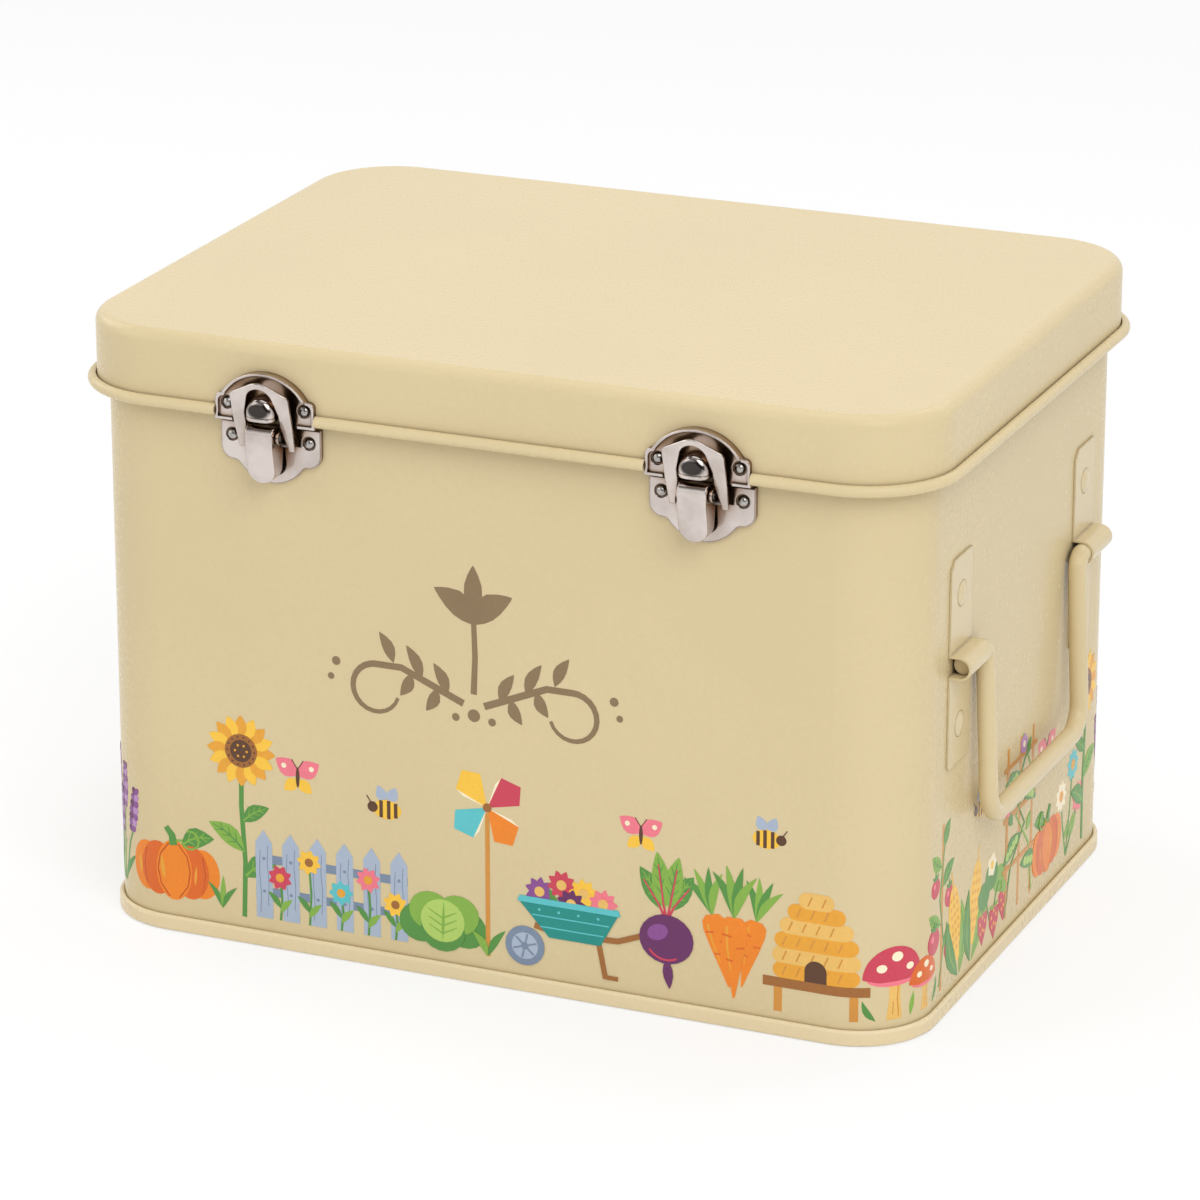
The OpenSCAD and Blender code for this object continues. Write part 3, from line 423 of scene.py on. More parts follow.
def skep():
    parts = [("bark", [(-19, 8), (19, 8), (19, 11.5), (-19, 11.5)])]
    parts += [("wood", [(x, -1), (x + 3, -1), (x + 3, 8), (x, 8)]) for x in (-15, 12)]
    rows = [(15.5, 11.5), (15.8, 17), (15, 22.5), (13.2, 28), (10.4, 33.3), (6.4, 38)]
    for i, (half, y) in enumerate(rows):
        outline = arc(half - 3, y + 3, 3, -90, 90, 8) + arc(-half + 3, y + 3, 3, 90, 270, 8)
        parts.append(("straw" if i % 2 else "amber", outline))
        parts += [("wood", ribbon([(x, y + 1.2), (x + 1.4, y + 4.6)], 0.6))
                  for x in range(int(-half + 3), int(half - 3), 5)]
    return parts + [("cocoa", [(-4, 11.5)] + arc(0, 15.5, 4, 180, 0, 10) + [(4, 11.5)])]


def bee():
    parts = [("mist", blade(side, 3, 4 * side, 10, 5)) for side in (-1, 1)] + [("sun", disc(0, 0, 6.4, 4.2))]
    parts += [("cocoa", ribbon([(x, -h), (x, h)], 1.6)) for x, h in ((-2.6, 3.7), (0.8, 4.0), (3.9, 3.2))]
    return parts + [("cocoa", disc(-6.4, 0.4, 2.3)), ("cocoa", ribbon([(-7, 2), (-9, 5)], 0.5))]


def picketFence():
    parts = [("slate", [(-31, y), (31, y), (31, y + 3.4), (-31, y + 3.4)]) for y in (9, 22)]
    for x in (-27.5, -16.5, -5.5, 5.5, 16.5, 27.5):
        parts.append(("mist", [(x - 3.4, 0), (x + 3.4, 0), (x + 3.4, 30), (x, 35), (x - 3.4, 30)]))
        parts += [("slate", disc(x, y, 0.7, n=8)) for y in (10.7, 23.7)]
        parts += [("slate", ribbon([(x - 1.7, 2), (x - 1.3, 9), (x - 1.9, 19), (x - 1.5, 27)], 0.32)),
                  ("slate", ribbon([(x + 1.5, 5), (x + 1.9, 14), (x + 1.3, 22), (x + 1.7, 29)], 0.32))]
    for x, high, paint, heart in ((-21, 17, "rose", "amber"), (-9, 25, "sun", "bark"),
                                  (4, 15, "aqua", "amber"), (15, 22, "blush", "amber"),
                                  (26, 14, "sun", "bark")):
        parts += [("leaf", ribbon([(x, 0), (x + 0.8, high * 0.5), (x, high)], 0.9)),
                  ("grass", blade(x, 3, x + 5, 9, 2.6, 0.6)), ("leaf", blade(x, 5, x - 5, 11, 2.4, -0.6))]
        parts += bloom(x, high, 5, 8, paint, heart, turn=x)
    return parts


def barrow():
    parts = []
    for x, y, paint in ((-12, 31, "violet"), (-3, 35, "rose"), (6, 33, "sun"), (14, 30, "blush"),
                        (1, 28, "plum")):
        parts += [("leaf", blade(x, 20, x - 5, y - 2, 3.4)), ("grass", blade(x, 20, x + 5, y - 3, 3.4))]
        parts += bloom(x, y, 6, 9, paint, "straw", turn=x * 3)
    parts += [("bark", ribbon([(-14, 17), (-4, 15), (20, 16), (35, 22)], 2.2)),
              ("bark", ribbon([(12, 15), (15, 0)], 2)), ("bark", ribbon([(15, 0.6), (20, 0.6)], 1.6)),
              ("teal", [(-20, 26), (20, 26), (13, 13), (-8, 13)]),
              ("aqua", [(-21, 26), (21, 26), (20.2, 28.4), (-20.2, 28.4)]),
              ("aqua", ribbon([(-15, 21.4), (16.4, 21.4)], 0.5)),
              ("aqua", ribbon([(-11.6, 17), (14.2, 17)], 0.5)),
              ("slate", disc(-18, 8, 8)), ("mist", disc(-18, 8, 5.4)), ("slate", disc(-18, 8, 1.6, n=12))]
    parts += [("aqua", disc(x, 23.8, 0.6, n=8)) for x in (-12, -4, 4, 12)]
    return parts + [("slate", mover(-18, 8, math.degrees(turn))(ribbon([(-5, 0), (5, 0)], 0.8)))
                    for turn in (0.3, 1.35, 2.4)]


def mushrooms():
    parts = []
    for x, size, paint in ((-7, 1.0, "rose"), (8, 0.72, "tangerine")):
        put = mover(x, 0, 0, size)
        cap = [(-12, 16)] + arc(0, 16, 12, 180, 0, 16)[1:-1] + [(12, 16), (6, 14.6), (-6, 14.6)]
        parts += [("straw", put([(-3, 0), (3.2, 0), (2.4, 9), (2.8, 17), (-2.4, 17), (-2, 9)])),
                  ("wood", put(ribbon([(1.8, 1), (1.2, 8), (1.6, 14)], 0.5))),
                  ("wood", put(ribbon([(-0.6, 2), (-0.4, 7)], 0.4))),
                  ("blush", put(disc(0, 15.6, 10.4, 2.8))), (paint, put(cap))]
        parts += [("cream", put(disc(u, v, rx, ry, n=12)))
                  for u, v, rx, ry in ((-5, 20, 2, 1.6), (1, 24, 2.3, 1.9), (6.5, 19.4, 1.7, 1.4))]
    return parts + [("leaf", blade(-14, 0, -19, 8, 2.4, 1)), ("grass", blade(0, 0, 1.5, 9, 2.2)),
                    ("leaf", blade(14, 0, 18, 9, 2.4, -1))]


def lavender():
    parts = []
    for x0, x1, high in ((-3, -13, 40), (-1, -6, 50), (1, 4, 46), (3, 12, 38), (0, -1, 35)):
        parts.append(("leaf", ribbon([(x0, 0), ((x0 + x1) / 2, high * 0.45), (x1, high - 12)], 0.9)))
        for k in range(7):
            y = high - 15 + k * 2.6
            x = x0 + (x1 - x0) * (0.72 + 0.05 * k)
            w = 2.5 - abs(k - 2.4) * 0.3
            parts += [("violet" if k % 2 else "plum", disc(x - w * 0.6, y, w * 0.72, 1.5, 30, 10)),
                      ("lilac" if k % 2 else "violet", disc(x + w * 0.6, y, w * 0.72, 1.5, -30, 10))]
    return parts + [("grass", blade(-2, 0, -12, 14, 2.6, -1)), ("leaf", blade(2, 0, 12, 13, 2.6, 1)),
                    ("grass", blade(0, 0, 4, 17, 2.4, 1))]


def cabbage():
    parts = [(paint, disc(x, y, r, r * 0.9, n=18))
             for paint, x, y, r in (("leaf", -9, 10, 8.5), ("leaf", 9, 10, 8.5), ("grass", -5, 15, 8.5),
                                    ("grass", 6, 15, 8.5), ("leaf", 0, 8, 9))]
    parts += [("sprout", disc(0, 12, 8.8, 8.4)), ("grass", blade(0, 4, 0.5, 20, 1.2))]
    return parts + [("grass", ribbon([(0, y), (side * 5.6, y + 3)], 0.7, 0.4))
                    for y in (7, 10, 13) for side in (-1, 1)]


def pinwheel():
    parts = [("wood", ribbon([(0, 0), (0, 56)], 1.8))]
    for turn, paint in ((12, "rose"), (102, "sun"), (192, "aqua"), (282, "orange")):
        put = mover(0, 58, turn)
        parts += [(paint, put([(0, 0), (13, 0), (15, 7), (8, 11)])),
                  ("cream", put([(0, 0), (8, 11), (5.2, 8.8)]))]
    return parts + [("bark", disc(0, 58, 1.8, n=12)), ("leaf", blade(0, 0, 7, 11, 3, 1)),
                    ("grass", blade(0, 0, -6, 9, 3, -1))]


def tomatoes():
    parts = [("wood", ribbon([(0, -2), (0, 62)], 1.8)),
             ("leaf", ribbon([(-2, 0), (2.4, 16), (-2.4, 34), (1.6, 54)], 1.1))]
    for x0, y0, x1, y1 in ((1, 14, 13, 20), (-1, 24, -13, 31), (0, 38, 12, 45), (-1, 46, -11, 53),
                           (1, 53, 7, 62)):
        paint, vein = ("leaf", "grass") if x1 > 0 else ("grass", "leaf")
        parts += leafShape(paint, vein, x0, y0, x1, y1, 6, 0.8)
    for x, y, r in ((8, 12, 4.8), (-8, 20, 5.4), (7.5, 32, 4.6), (-7, 40, 4.2)):
        parts += [("rose", disc(x, y, r, r * 0.92)),
                  ("blush", disc(x - r * 0.3, y + r * 0.25, r * 0.26, n=8))]
        parts += [("leaf", blade(x, y + r * 0.7, x + dx, y + r * 0.9 + dy, 1.4))
                  for dx, dy in ((-3, 1), (3, 1), (0, 2.6))]
    return parts


def corn():
    parts = []
    for x, lean in ((-6, 12), (7, -10)):
        put = mover(x, 0, lean)
        parts += [("sun", put(disc(0, 22, 6, 16))), ("straw", put(blade(0, 30, 0, 44, 1.6)))]
        parts += [("amber", put(disc(u, 12 + row * 3.5, 1.0, n=8))) for row in range(7) for u in (-3, 0, 3)]
        parts += [("leaf", put(blade(-1, 0, -8, 28, 8, 3))), ("grass", put(blade(1, 0, 8, 27, 8, -3))),
                  ("grass", put(blade(-1.6, 2, -7, 24, 0.9, 3))),
                  ("leaf", put(blade(1.6, 2, 7, 23, 0.9, -3)))]
    return parts


def berries():
    parts = [("leaf", disc(-8, 18, 6, 5)), ("grass", disc(8, 19, 6, 5)), ("leaf", disc(0, 23, 6.4, 5.4))]
    parts += [("leaf", ribbon([(0, 4), (x * 0.6, 14), (x, 18)], 0.9)) for x in (-8, 8)]
    parts += bloom(0, 27, 4.6, 5, "cream", "sun", 4.2)
    fruit = [(-5, 4), (-4.4, -1), (0, -7), (4.4, -1), (5, 4), (2, 5.8), (-2, 5.8)]
    seeds = [(-2.4, 1.6), (2.4, 1.6), (0, -1), (0, 3.6), (-1.8, -2), (1.8, -2)]
    for x, y in ((-9, 7), (3, 5), (13, 8)):
        put = mover(x, y)
        parts.append(("rose", put(fruit)))
        parts += [("sun", put(disc(u, v, 0.55, 0.8, n=6))) for u, v in seeds]
        parts += [("grass", put(blade(0, 5, u, 6, 1.6))) for u in (-4.4, 4.4)]
    return parts


def peaTrellis():
    parts = [("wood", ribbon([(x, -1), (x, 66)], 2)) for x in (-14, 0, 14)]
    parts += [("wood", ribbon([(-18, y), (18, y)], 1.8)) for y in (18, 38, 58)]
    parts += [("leaf", ribbon([(-15, 0), (-9, 18), (6, 30), (-6, 44), (9, 60)], 1.1)),
              ("grass", ribbon([(15, 0), (11, 20), (-4, 36), (12, 50), (2, 66)], 1.0))]
    for x, y, turn in ((-8, 24, 20), (9, 40, -25), (-10, 50, 12), (12, 12, -12)):
        put = mover(x, y, turn)
        parts.append(("leaf", put(blade(-10, 0, 10, 0, 7, 1.4))))
        parts += [("sprout", put(disc(u, 0.8, 1.8, n=12))) for u in (-5, -1.6, 1.8, 5)]
    for paint, x, y, side in (("leaf", -8, 34, -1), ("grass", 8, 26, 1), ("leaf", 6, 56, 1),
                              ("grass", -14, 10, -1)):
        parts.append((paint, blade(x, y, x + 5 * side, y + 6, 4.4)))
    return parts + bloom(3, 62, 4, 5, "lilac", "cream", 4) + bloom(-13, 42, 3.6, 5, "blush", "cream", 3.6)


def butterfly():
    parts = []
    for side in (-1, 1):
        parts += [("sun", blade(0, -1, 7 * side, -7, 6)), ("blush", blade(0, 1, 11 * side, 8, 9)),
                  ("cream", disc(7 * side, 5, 1.3, n=10))]
    return parts + [("cocoa", disc(0, 0, 1, 5, n=12))] + [
        ("cocoa", ribbon([(0, 4), (side * 3, 8.6)], 0.45)) for side in (-1, 1)]


def tuft():
    return [("leaf", blade(0, 0, -6, 10, 2.2, -1)), ("grass", blade(0, 0, 0.5, 13, 2.2)),
            ("leaf", blade(0, 0, 6, 9, 2.2, 1))]


def daisies():
    parts = []
    for x, high, paint in ((-6, 22, "cream"), (5, 29, "aqua"), (11, 16, "blush")):
        parts += [("leaf", ribbon([(0, 0), (x * 0.6, high * 0.5), (x, high)], 0.9)),
                  ("grass", blade(x * 0.4, 5, x * 0.4 + 5, 12, 2.6))]
        parts += bloom(x, high, 5.4, 9, paint, "amber", turn=x)
    return parts


paints = {
    "orange": (240, 135, 32), "tangerine": (224, 104, 28), "amber": (234, 165, 52), "sun": (250, 199, 66),
    "straw": (236, 190, 104), "wood": (212, 146, 62), "bark": (160, 103, 48), "cocoa": (92, 60, 38),
    "plum": (104, 44, 98), "violet": (140, 78, 148), "lilac": (186, 140, 196), "rose": (206, 66, 88),
    "blush": (242, 124, 140), "teal": (26, 142, 134), "aqua": (92, 196, 202), "slate": (124, 140, 164),
    "rust": (198, 84, 24), "mist": (170, 184, 204), "leaf": (86, 146, 66), "grass": (134, 178, 72),
    "sprout": (178, 208, 104), "cream": (252, 240, 208), "brown": (139, 116, 84),
}
paintNames = list(paints)
printLook = {
    "darker": 0.86, "mottle": 0.5, "mottleSpan": (0.36, 0.64),
    "dotScale": 900.0, "dot": 0.05, "dotDepth": 0.0001, "washScale": 60.0, "washSpan": (0.3, 0.7),
    "rough": 0.32, "roughSpread": 0.06, "specular": 0.36, "coat": 0.05, "coatRough": 0.1,
}


def printPaint(name):
    look = printLook
    colour = linear(*paints[name])
    mat, tree, coords = newMaterial("print" + name.capitalize())
    dots, wash = noise(tree, coords, look["dotScale"]), noise(tree, coords, look["washScale"])
    darker = tuple(c * look["darker"] for c in colour[:3]) + (1.0,)
    mottle = mapRange(tree, average(tree, dots, wash), look["mottleSpan"], 0.0, look["mottle"])
    rough = mapRange(tree, wash, look["washSpan"], look["rough"] - look["roughSpread"],
                     look["rough"] + look["roughSpread"])
    setShader(tree, Base_Color=mixColour(tree, mottle, colour, darker), Roughness=rough,
              Normal=bump(tree, dots, look["dot"], look["dotDepth"]), Specular_IOR_Level=look["specular"],
              Coat_Weight=look["coat"], Coat_Roughness=look["coatRough"])
    return mat


printMaterials = [printPaint(name) for name in paintNames]


# The wall seen as a strip, in millimetres: s runs round the box from the middle of the front to the right
wall = {"halfWide": 160.4, "halfDeep": 117.4, "cornerR": 28.4, "cornerSteps": 16}
film = {"lift": 0.06, "layer": 0.012, "sink": -0.1, "narrow": 4.2}
straightX, straightY = wall["halfWide"] - wall["cornerR"], wall["halfDeep"] - wall["cornerR"]
bend = wall["cornerSteps"] * 2 * wall["cornerR"] * math.sin(math.pi / 4 / wall["cornerSteps"])
halfWay = 2 * straightX + 2 * straightY + 2 * bend


# Geometry Nodes that carry a flat film round the box: x is its way along the wall, y its height off the wall
def wrapTree():
    tree = bpy.data.node_groups.new("wrapRoundWall", "GeometryNodeTree")
    sockets = {}
    for name, kind in (("Film", "Geometry"), ("Wall Width", "Float"), ("Wall Depth", "Float"),
                       ("Corner Radius", "Float"), ("Corner Steps", "Int"), ("Strip Start", "Float")):
        socket = tree.interface.new_socket(name, in_out="INPUT", socket_type="NodeSocket" + kind)
        sockets[name] = socket.identifier
    tree.interface.new_socket("Print", in_out="OUTPUT", socket_type="NodeSocketGeometry")
    given, result = tree.nodes.new("NodeGroupInput").outputs, tree.nodes.new("NodeGroupOutput")
    outline = addNode(tree, "GeometryNodeCurvePrimitiveQuadrilateral", {"mode": "RECTANGLE"},
                      Width=given["Wall Width"], Height=given["Wall Depth"]).outputs["Curve"]
    wallCurve = addNode(tree, "GeometryNodeFilletCurve", {"mode": "POLY"}, Curve=outline,
                        Count=given["Corner Steps"], Radius=given["Corner Radius"]).outputs["Curve"]
    around = addNode(tree, "GeometryNodeCurveLength", Curve=wallCurve).outputs["Length"]
    position = tree.nodes.new("GeometryNodeInputPosition").outputs["Position"]
    flat = addNode(tree, "ShaderNodeSeparateXYZ", Vector=position).outputs
    along = maths(tree, "WRAP", maths(tree, "ADD", flat["X"], given["Strip Start"]), around, 0.0)
    path = addNode(tree, "GeometryNodeSampleCurve", {"mode": "LENGTH"}, Curves=wallCurve,
                   Length=along).outputs
    outward = vectorMaths(tree, "CROSS_PRODUCT", path["Tangent"], (0, 0, 1))
    raised = addNode(tree, "ShaderNodeVectorMath", {"operation": "SCALE"}, Vector=outward, Scale=flat["Y"])
    upward = addNode(tree, "ShaderNodeCombineXYZ", Z=flat["Z"])
    spot = vectorMaths(tree, "ADD", path["Position"], raised.outputs["Vector"])
    spot = vectorMaths(tree, "ADD", spot, upward.outputs["Vector"])
    wrapped = addNode(tree, "GeometryNodeSetPosition", Geometry=given["Film"], Position=spot)
    geometry = addNode(tree, "GeometryNodeRealizeInstances", Geometry=wrapped.outputs["Geometry"])
    geometry = geometry.outputs["Geometry"]
    paint = addNode(tree, "GeometryNodeInputNamedAttribute", {"data_type": "INT"}, Name="paint")
    for index, mat in enumerate(printMaterials):
        chosen = addNode(tree, "FunctionNodeCompare", {"data_type": "INT", "operation": "EQUAL"})
        wanted = [socket for socket in chosen.inputs if socket.enabled]
        feed(tree, wanted[0], paint.outputs["Attribute"])
        feed(tree, wanted[1], index)
        geometry = addNode(tree, "GeometryNodeSetMaterial", Geometry=geometry, Selection=chosen.outputs[0],
                           Material=mat).outputs["Geometry"]
    feed(tree, result.inputs["Print"], geometry)
    return tree, sockets


wrapRound, wrapSockets = wrapTree()
wrapSizes = {
    "Wall Width": 2 * wall["halfWide"] * mm, "Wall Depth": 2 * wall["halfDeep"] * mm,
    "Corner Radius": wall["cornerR"] * mm, "Corner Steps": wall["cornerSteps"],
    "Strip Start": -(straightX + bend + 2 * straightY) * mm,
}


# Makes one shape a flat sheet of triangles, cut where the wall's corners turn
def flatShape(points, cuts):
    sheet = bmesh.new()
    count = len(points)
    area = sum(points[i - 1][0] * points[i][1] - points[i][0] * points[i - 1][1] for i in range(count))
    ring = [sheet.verts.new((x, 0, z)) for x, z in (points if area > 0 else points[::-1])]
    widest = max(math.dist(points[i], points[-1 - i]) for i in range(count // 2))
    if count % 2 == 0 and widest < film["narrow"]:  # a strip of quads
        for i in range(count // 2 - 1):
            sheet.faces.new([ring[i], ring[i + 1], ring[-2 - i], ring[-1 - i]])
    else:
        for triangle in tessellate_polygon([[Vector((v.co.x, v.co.z, 0)) for v in ring]]):
            a, b, c = (ring[i] for i in triangle)
            turn = (b.co - a.co).cross(c.co - a.co).y
            sheet.faces.new([a, b, c] if turn < 0 else [a, c, b])
    bmesh.ops.triangulate(sheet, faces=sheet.faces[:])
    for cut in cuts:
        everything = sheet.verts[:] + sheet.edges[:] + sheet.faces[:]
        bmesh.ops.bisect_plane(sheet, geom=everything, plane_co=(cut, 0, 0), plane_no=(1, 0, 0))
    return sheet


# Lays each shape as a thin closed film over those below it, and returns one flat mesh of them all
def flatFilms(name, shapes):
    whole = bmesh.new()
    paintLayer = whole.faces.layers.int.new("paint")
    turns = [start + bend * step / wall["cornerSteps"] for step in range(wall["cornerSteps"] + 1)
             for start in (straightX, straightX + bend + 2 * straightY)]
    cuts = [turn + lap * halfWay for turn in turns for lap in range(-1, 3)]
    laid = []
    for paint, points in shapes:
        xs, zs = zip(*points)
        left, right, low, high = min(xs), max(xs), min(zs), max(zs)
        below = [layer for layer, box in laid
                 if box[0] < right and box[1] > left and box[2] < high and box[3] > low]
        layer = 1 + max(below, default=-1)
        laid.append((layer, (left, right, low, high)))
        sheet = flatShape(points, [cut for cut in cuts if left < cut < right])
        raised = bmesh.ops.extrude_face_region(sheet, geom=sheet.faces[:])["geom"]
        top = {v for v in raised if isinstance(v, bmesh.types.BMVert)}
        height = film["lift"] + film["layer"] * layer
        copied = [whole.verts.new(Vector((v.co.x, height if v in top else film["sink"], v.co.z)) * mm)
                  for v in sheet.verts]
        sheet.verts.index_update()
        faces = []
        for face in sheet.faces:
            corners = [v.index for v in face.verts]
            first = corners.index(min(corners))
            faces.append(corners[first:] + corners[:first])
        for corners in sorted(faces):  # sorted, so that each run gives the same order
            whole.faces.new([copied[i] for i in corners])[paintLayer] = paintNames.index(paint)
        sheet.free()
    bmesh.ops.recalc_face_normals(whole, faces=whole.faces[:])
    bmesh.ops.reverse_faces(whole, faces=whole.faces[:])  # the wrap mirrors the strip, which turns them back
    flat = bpy.data.meshes.new(name + "Flat")
    whole.to_mesh(flat)
    whole.free()
    return flat


def printPiece(name, shapes):
    flat = flatFilms(name, shapes)
    piece = bpy.data.objects.new(name, flat)
    bpy.context.collection.objects.link(piece)
    modifier = piece.modifiers.new("wrapRoundWall", "NODES")
    modifier.node_group = wrapRound
    for size, value in wrapSizes.items():
        modifier[wrapSockets[size]] = value
    wrapped = piece.evaluated_get(bpy.context.evaluated_depsgraph_get())
    finished = bpy.data.meshes.new_from_object(wrapped)
    piece.modifiers.clear()
    piece.data = finished
    finished.name = name
    if finished.materials[0] is None:  # the flat mesh had none
        finished.materials.pop(index=0)
    finished.attributes.remove(finished.attributes["paint"])
    bpy.data.meshes.remove(flat)
    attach(piece, "base")


def place(motif, s, z, size=1.0, flip=False):
    sizeAlong = -size if flip else size
    return [(paint, [(s + x * sizeAlong, z + y * size) for x, y in points]) for paint, points in motif]


# Rows of motif, place along the wall, height, size and whether it is flipped
borderLook = {
    "front": [
        (lavender, -158, 13, 1.0, False), (pumpkin, -128, 12, 1.0, False), (tuft, -108, 12, 1.0, False),
        (sunflower, -99, 10, 1.0, False), (picketFence, -63, 11, 1.0, False), (cabbage, -18, 10, 1.0, False),
        (pinwheel, 0, 11, 1.0, False), (barrow, 32, 10, 0.96, False), (beet, 70, 18, 0.95, False),
        (carrots, 96, 10, 1.05, False), (skep, 127, 10, 1.05, False),
    ],
    "side": [
        (mushrooms, 163, 9, 1.0, False), (tomatoes, 186, 12, 1.0, False), (corn, 211, 9, 1.0, False),
        (berries, 240, 10, 1.05, False), (peaTrellis, 270, 12, 1.0, False), (pumpkin, 303, 12, 0.9, True),
        (daisies, 326, 10, 1.2, False), (sunflower, 345, 10, 0.95, True),
    ],
    "flying": [
        (bee, -40, 62, 0.9, False), (butterfly, -76, 69, 0.8, False), (bee, 108, 74, 0.85, True),
        (butterfly, 60, 68, 0.75, False), (bee, 226, 66, 0.8, False), (butterfly, 300, 60, 0.9, False),
    ],
    "seamShift": -5, "seamSize": 0.82,
}
frontShapes, rearShapes = [], []
for row in ("front", "side", "flying"):
    for motif, s, z, size, flip in borderLook[row]:
        frontShapes += place(motif(), s, z, size, flip)
        if motif is pinwheel:  # at the back the body's seam takes its place
            continue
        if motif is cabbage:
            s, size = s + borderLook["seamShift"], borderLook["seamSize"]
        rearShapes += place(motif(), s + halfWay, z, size, flip)
printPiece("garden_border_front", frontShapes)
printPiece("garden_border_rear", rearShapes)
print("border laid,", len(frontShapes) + len(rearShapes), "shapes")


# Between the latches and the border: a sprout between two leafy scrolls, all in one brown
def ornament():
    shapes = [ribbon([(0, -2), (0.6, 12), (0, 30)], 2.4, 0.8), blade(0, 24, -15, 36, 9, -2),
              blade(0, 24, 15, 36, 9, 2), blade(0, 28, 0, 46, 7)]
    for side in (-1, 1):
        stem = [(4 * side, -6), (16 * side, -1), (28 * side, 4), (38 * side, 4)]
        angles = [0.2 + 0.28 * i for i in range(16)]
        curl = [(38 * side + 9 * math.sin(a) * side, -5 + 9 * math.cos(a)) for a in angles]
        shapes.append(ribbon(stem + curl, 2.7, 0.5))
        for x, up, length in ((10, 1, 11), (14, -1, 9), (20, 1, 12), (24, -1, 9), (31, 1, 11)):
            y = -6 + (x - 4) * 0.42
            tip = (x + length * 0.5) * side
            shapes.append(blade(x * side, y, tip, y + up * length, 4.6, 0.8 * up * side))
        shapes += [disc(53.5 * side, 3, 1.7, n=12), disc(55.6 * side, -3, 1.3, n=12)]
    shapes += [disc(0, -10, 2.4, n=14), disc(-7, -11.5, 1.5, n=12), disc(7, -11.5, 1.5, n=12)]
    return [("brown", shape) for shape in shapes]


ornamentLook = {"s": -5, "z": 114, "size": 1.02}
printPiece("front_ornament", place(ornament(), **ornamentLook))
print("ornament laid")


# A direction: azimuth 0 is straight ahead of the latches and 90 is to the box's right
def aim(azimuth, elevation):
    azimuth, elevation = math.radians(azimuth), math.radians(elevation)
    return Vector((math.sin(azimuth) * math.cos(elevation), -math.cos(azimuth) * math.cos(elevation),
                   math.sin(elevation)))


# Camera, at the photograph's angle
view = {
    "azimuth": 25.65, "elevation": 19.56, "roll": -0.88, "distance": 2.109, "middle": (0, 0, 0.117375),
    "leftward": 0.09919, "downward": 0.00526, "lens": 168.39, "sensor": 36, "shift": 0.20833, "farClip": 50,
}


def aimCamera():
    back = aim(view["azimuth"], view["elevation"])
    azimuth, roll = math.radians(view["azimuth"]), math.radians(view["roll"])
    right = Vector((math.cos(azimuth), math.sin(azimuth), 0))
    up = back.cross(right)
    target = Vector(view["middle"]) - right * view["leftward"] - up * view["downward"]
    eye = target + back * view["distance"]
    across = right * math.cos(roll) + up * math.sin(roll)
    upward = up * math.cos(roll) - right * math.sin(roll)
    data = bpy.data.cameras.new("photoCamera")
    data.lens, data.sensor_width = view["lens"], view["sensor"]
    data.shift_x, data.clip_end = view["shift"], view["farClip"]
    camera = bpy.data.objects.new("photoCamera", data)
    bpy.context.collection.objects.link(camera)
    camera.matrix_world = Matrix((
        (across.x, upward.x, back.x, eye.x), (across.y, upward.y, back.y, eye.y),
        (across.z, upward.z, back.z, eye.z), (0, 0, 0, 1)))
    bpy.context.scene.camera = camera


aimCamera()
bpy.context.scene.view_settings.view_transform = "Standard"
print("camera aimed")


# Pale floor, and a sky that metal mirrors: a white horizon, a dark ceiling and a dark room by the camera
stageLook = {
    "floorSize": 24.0, "floorHeight": -0.0002, "floorWhite": 0.95, "floorGlow": 0.62, "skyLight": 0.5,
    "ceilingDark": 0.15, "ceilingSpan": (0.4, 0.75), "roomDark": 0.08, "roomSpan": (0.72, 0.88),
    "roomAzimuth": 28.0, "roomElevation": 22.0, "lampMiddle": (0, 0, 0.1),
}


# Whether a ray comes from the camera, a mirror or clear glass, and whether it is the camera's own
def seenRay(tree):
    path = tree.nodes.new("ShaderNodeLightPath").outputs
    mirrored = maths(tree, "MAXIMUM", path["Is Glossy Ray"], path["Is Transmission Ray"])
    return maths(tree, "MAXIMUM", path["Is Camera Ray"], mirrored), path["Is Camera Ray"]


def buildFloor():
    mesh = bpy.data.meshes.new("floor")
    half, z = stageLook["floorSize"] / 2, stageLook["floorHeight"]
    corners = [(-half, -half, z), (half, -half, z), (half, half, z), (-half, half, z)]
    mesh.from_pydata(corners, [], [(0, 1, 2, 3)])
    floor = bpy.data.objects.new("floor", mesh)
    bpy.context.collection.objects.link(floor)
    mat, tree, coords = newMaterial("paperFloor")
    tree.nodes.remove(coords.node)
    tree.nodes.remove(tree.nodes["Principled BSDF"])
    white = (stageLook["floorWhite"],) * 3 + (1,)
    diffuse = addNode(tree, "ShaderNodeBsdfDiffuse", Color=white)
    glow = addNode(tree, "ShaderNodeEmission", Color=(1, 1, 1, 1), Strength=1.0)
    mixed = tree.nodes.new("ShaderNodeMixShader")
    share = maths(tree, "MULTIPLY", seenRay(tree)[0], stageLook["floorGlow"])
    for socket, value in zip(mixed.inputs, (share, diffuse.outputs[0], glow.outputs[0])):
        feed(tree, socket, value)
    feed(tree, tree.nodes["Material Output"].inputs["Surface"], mixed.outputs[0])
    mesh.materials.append(mat)


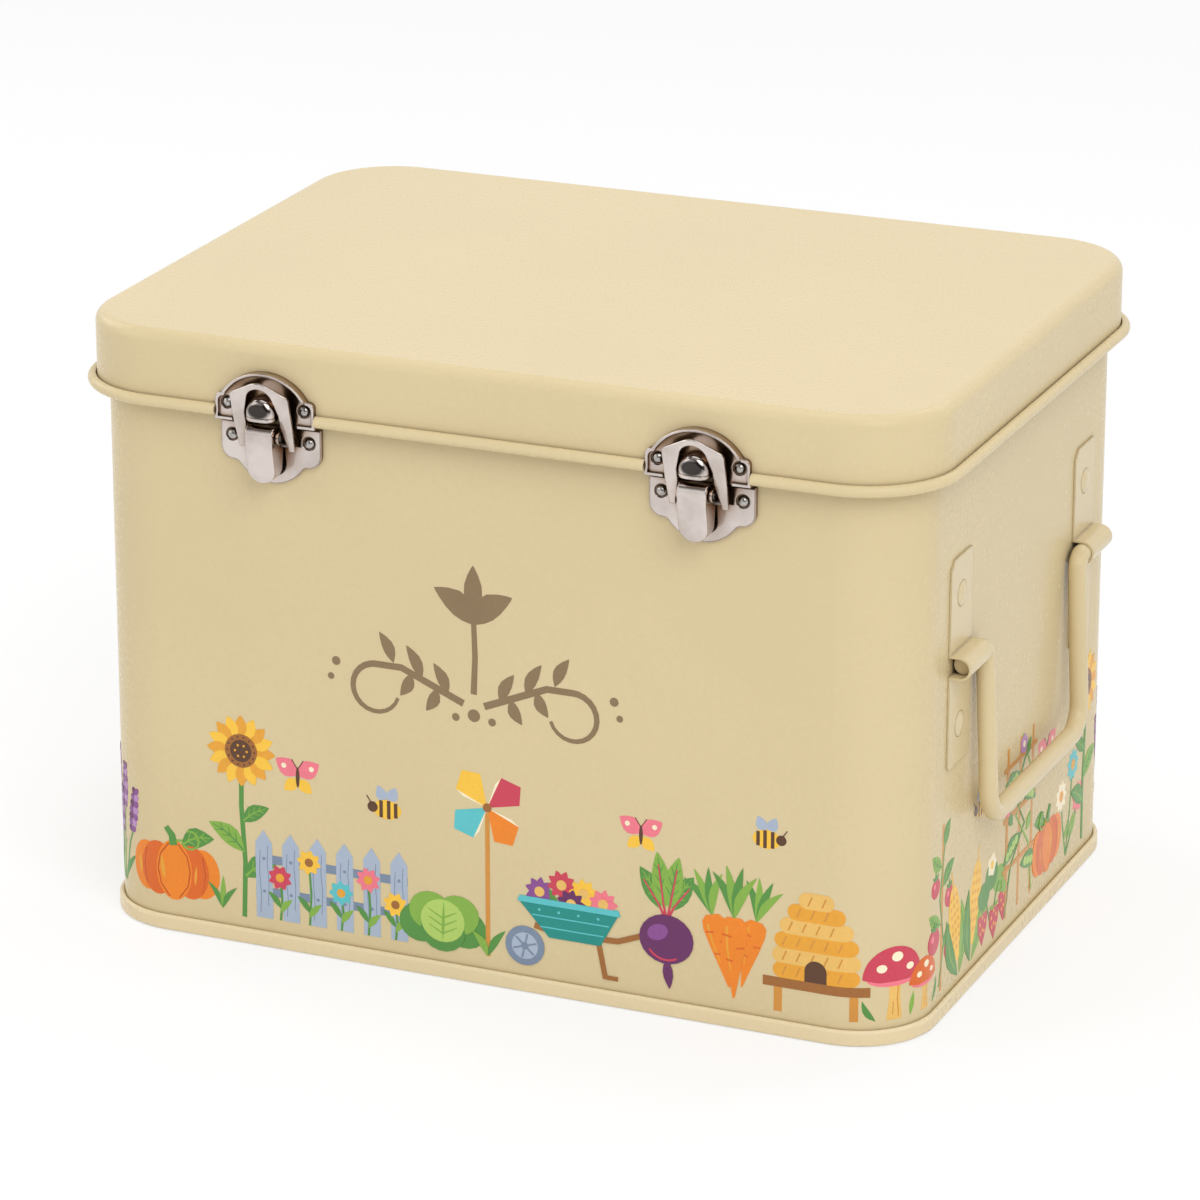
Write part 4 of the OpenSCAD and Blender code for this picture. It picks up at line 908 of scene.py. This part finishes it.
def buildSky():
    world = bpy.data.worlds.new("studio")
    bpy.context.scene.world = world
    world.use_nodes = True
    tree = world.node_tree
    seen, byCamera = seenRay(tree)
    direction = addNode(tree, "ShaderNodeTexCoord").outputs["Generated"]
    height = addNode(tree, "ShaderNodeSeparateXYZ", Vector=direction).outputs["Z"]
    ceiling = mapRange(tree, height, stageLook["ceilingSpan"], 1.0, stageLook["ceilingDark"])
    towardRoom = aim(stageLook["roomAzimuth"], stageLook["roomElevation"])
    facing = vectorMaths(tree, "DOT_PRODUCT", direction, towardRoom)
    room = mapRange(tree, facing, stageLook["roomSpan"], 1.0, stageLook["roomDark"])
    shown = maths(tree, "MAXIMUM", byCamera, maths(tree, "MINIMUM", ceiling, room))
    lit = maths(tree, "MULTIPLY", maths(tree, "SUBTRACT", 1.0, seen), stageLook["skyLight"])
    background = tree.nodes["Background"]
    feed(tree, background.inputs["Color"], (1, 1, 1, 1))
    feed(tree, background.inputs["Strength"], maths(tree, "ADD", maths(tree, "MULTIPLY", seen, shown), lit))


# Square softboxes: metres and watts
lamps = [
    {"name": "keySoftbox", "azimuth": 42, "elevation": 42, "distance": 2.4, "size": 1.5, "power": 25},
    {"name": "leftSoftbox", "azimuth": -55, "elevation": 30, "distance": 2.4, "size": 1.2, "power": 5},
    {"name": "topSoftbox", "azimuth": 0, "elevation": 88, "distance": 2.2, "size": 1.6, "power": 9},
    {"name": "rearSoftbox", "azimuth": 160, "elevation": 48, "distance": 2.4, "size": 1.3, "power": 9},
    {"name": "backSoftbox", "azimuth": 258, "elevation": 35, "distance": 2.4, "size": 1.3, "power": 12},
]


def hangLamps():
    for lamp in lamps:
        toward = aim(lamp["azimuth"], lamp["elevation"])
        data = bpy.data.lights.new(lamp["name"], "AREA")
        data.shape = "SQUARE"
        data.size, data.energy = lamp["size"], lamp["power"]
        light = bpy.data.objects.new(lamp["name"], data)
        bpy.context.collection.objects.link(light)
        light.location = Vector(stageLook["lampMiddle"]) + toward * lamp["distance"]
        light.rotation_euler = toward.to_track_quat("Z", "Y").to_euler()


buildFloor()
buildSky()
hangLamps()
print("floor, sky and lamps set")
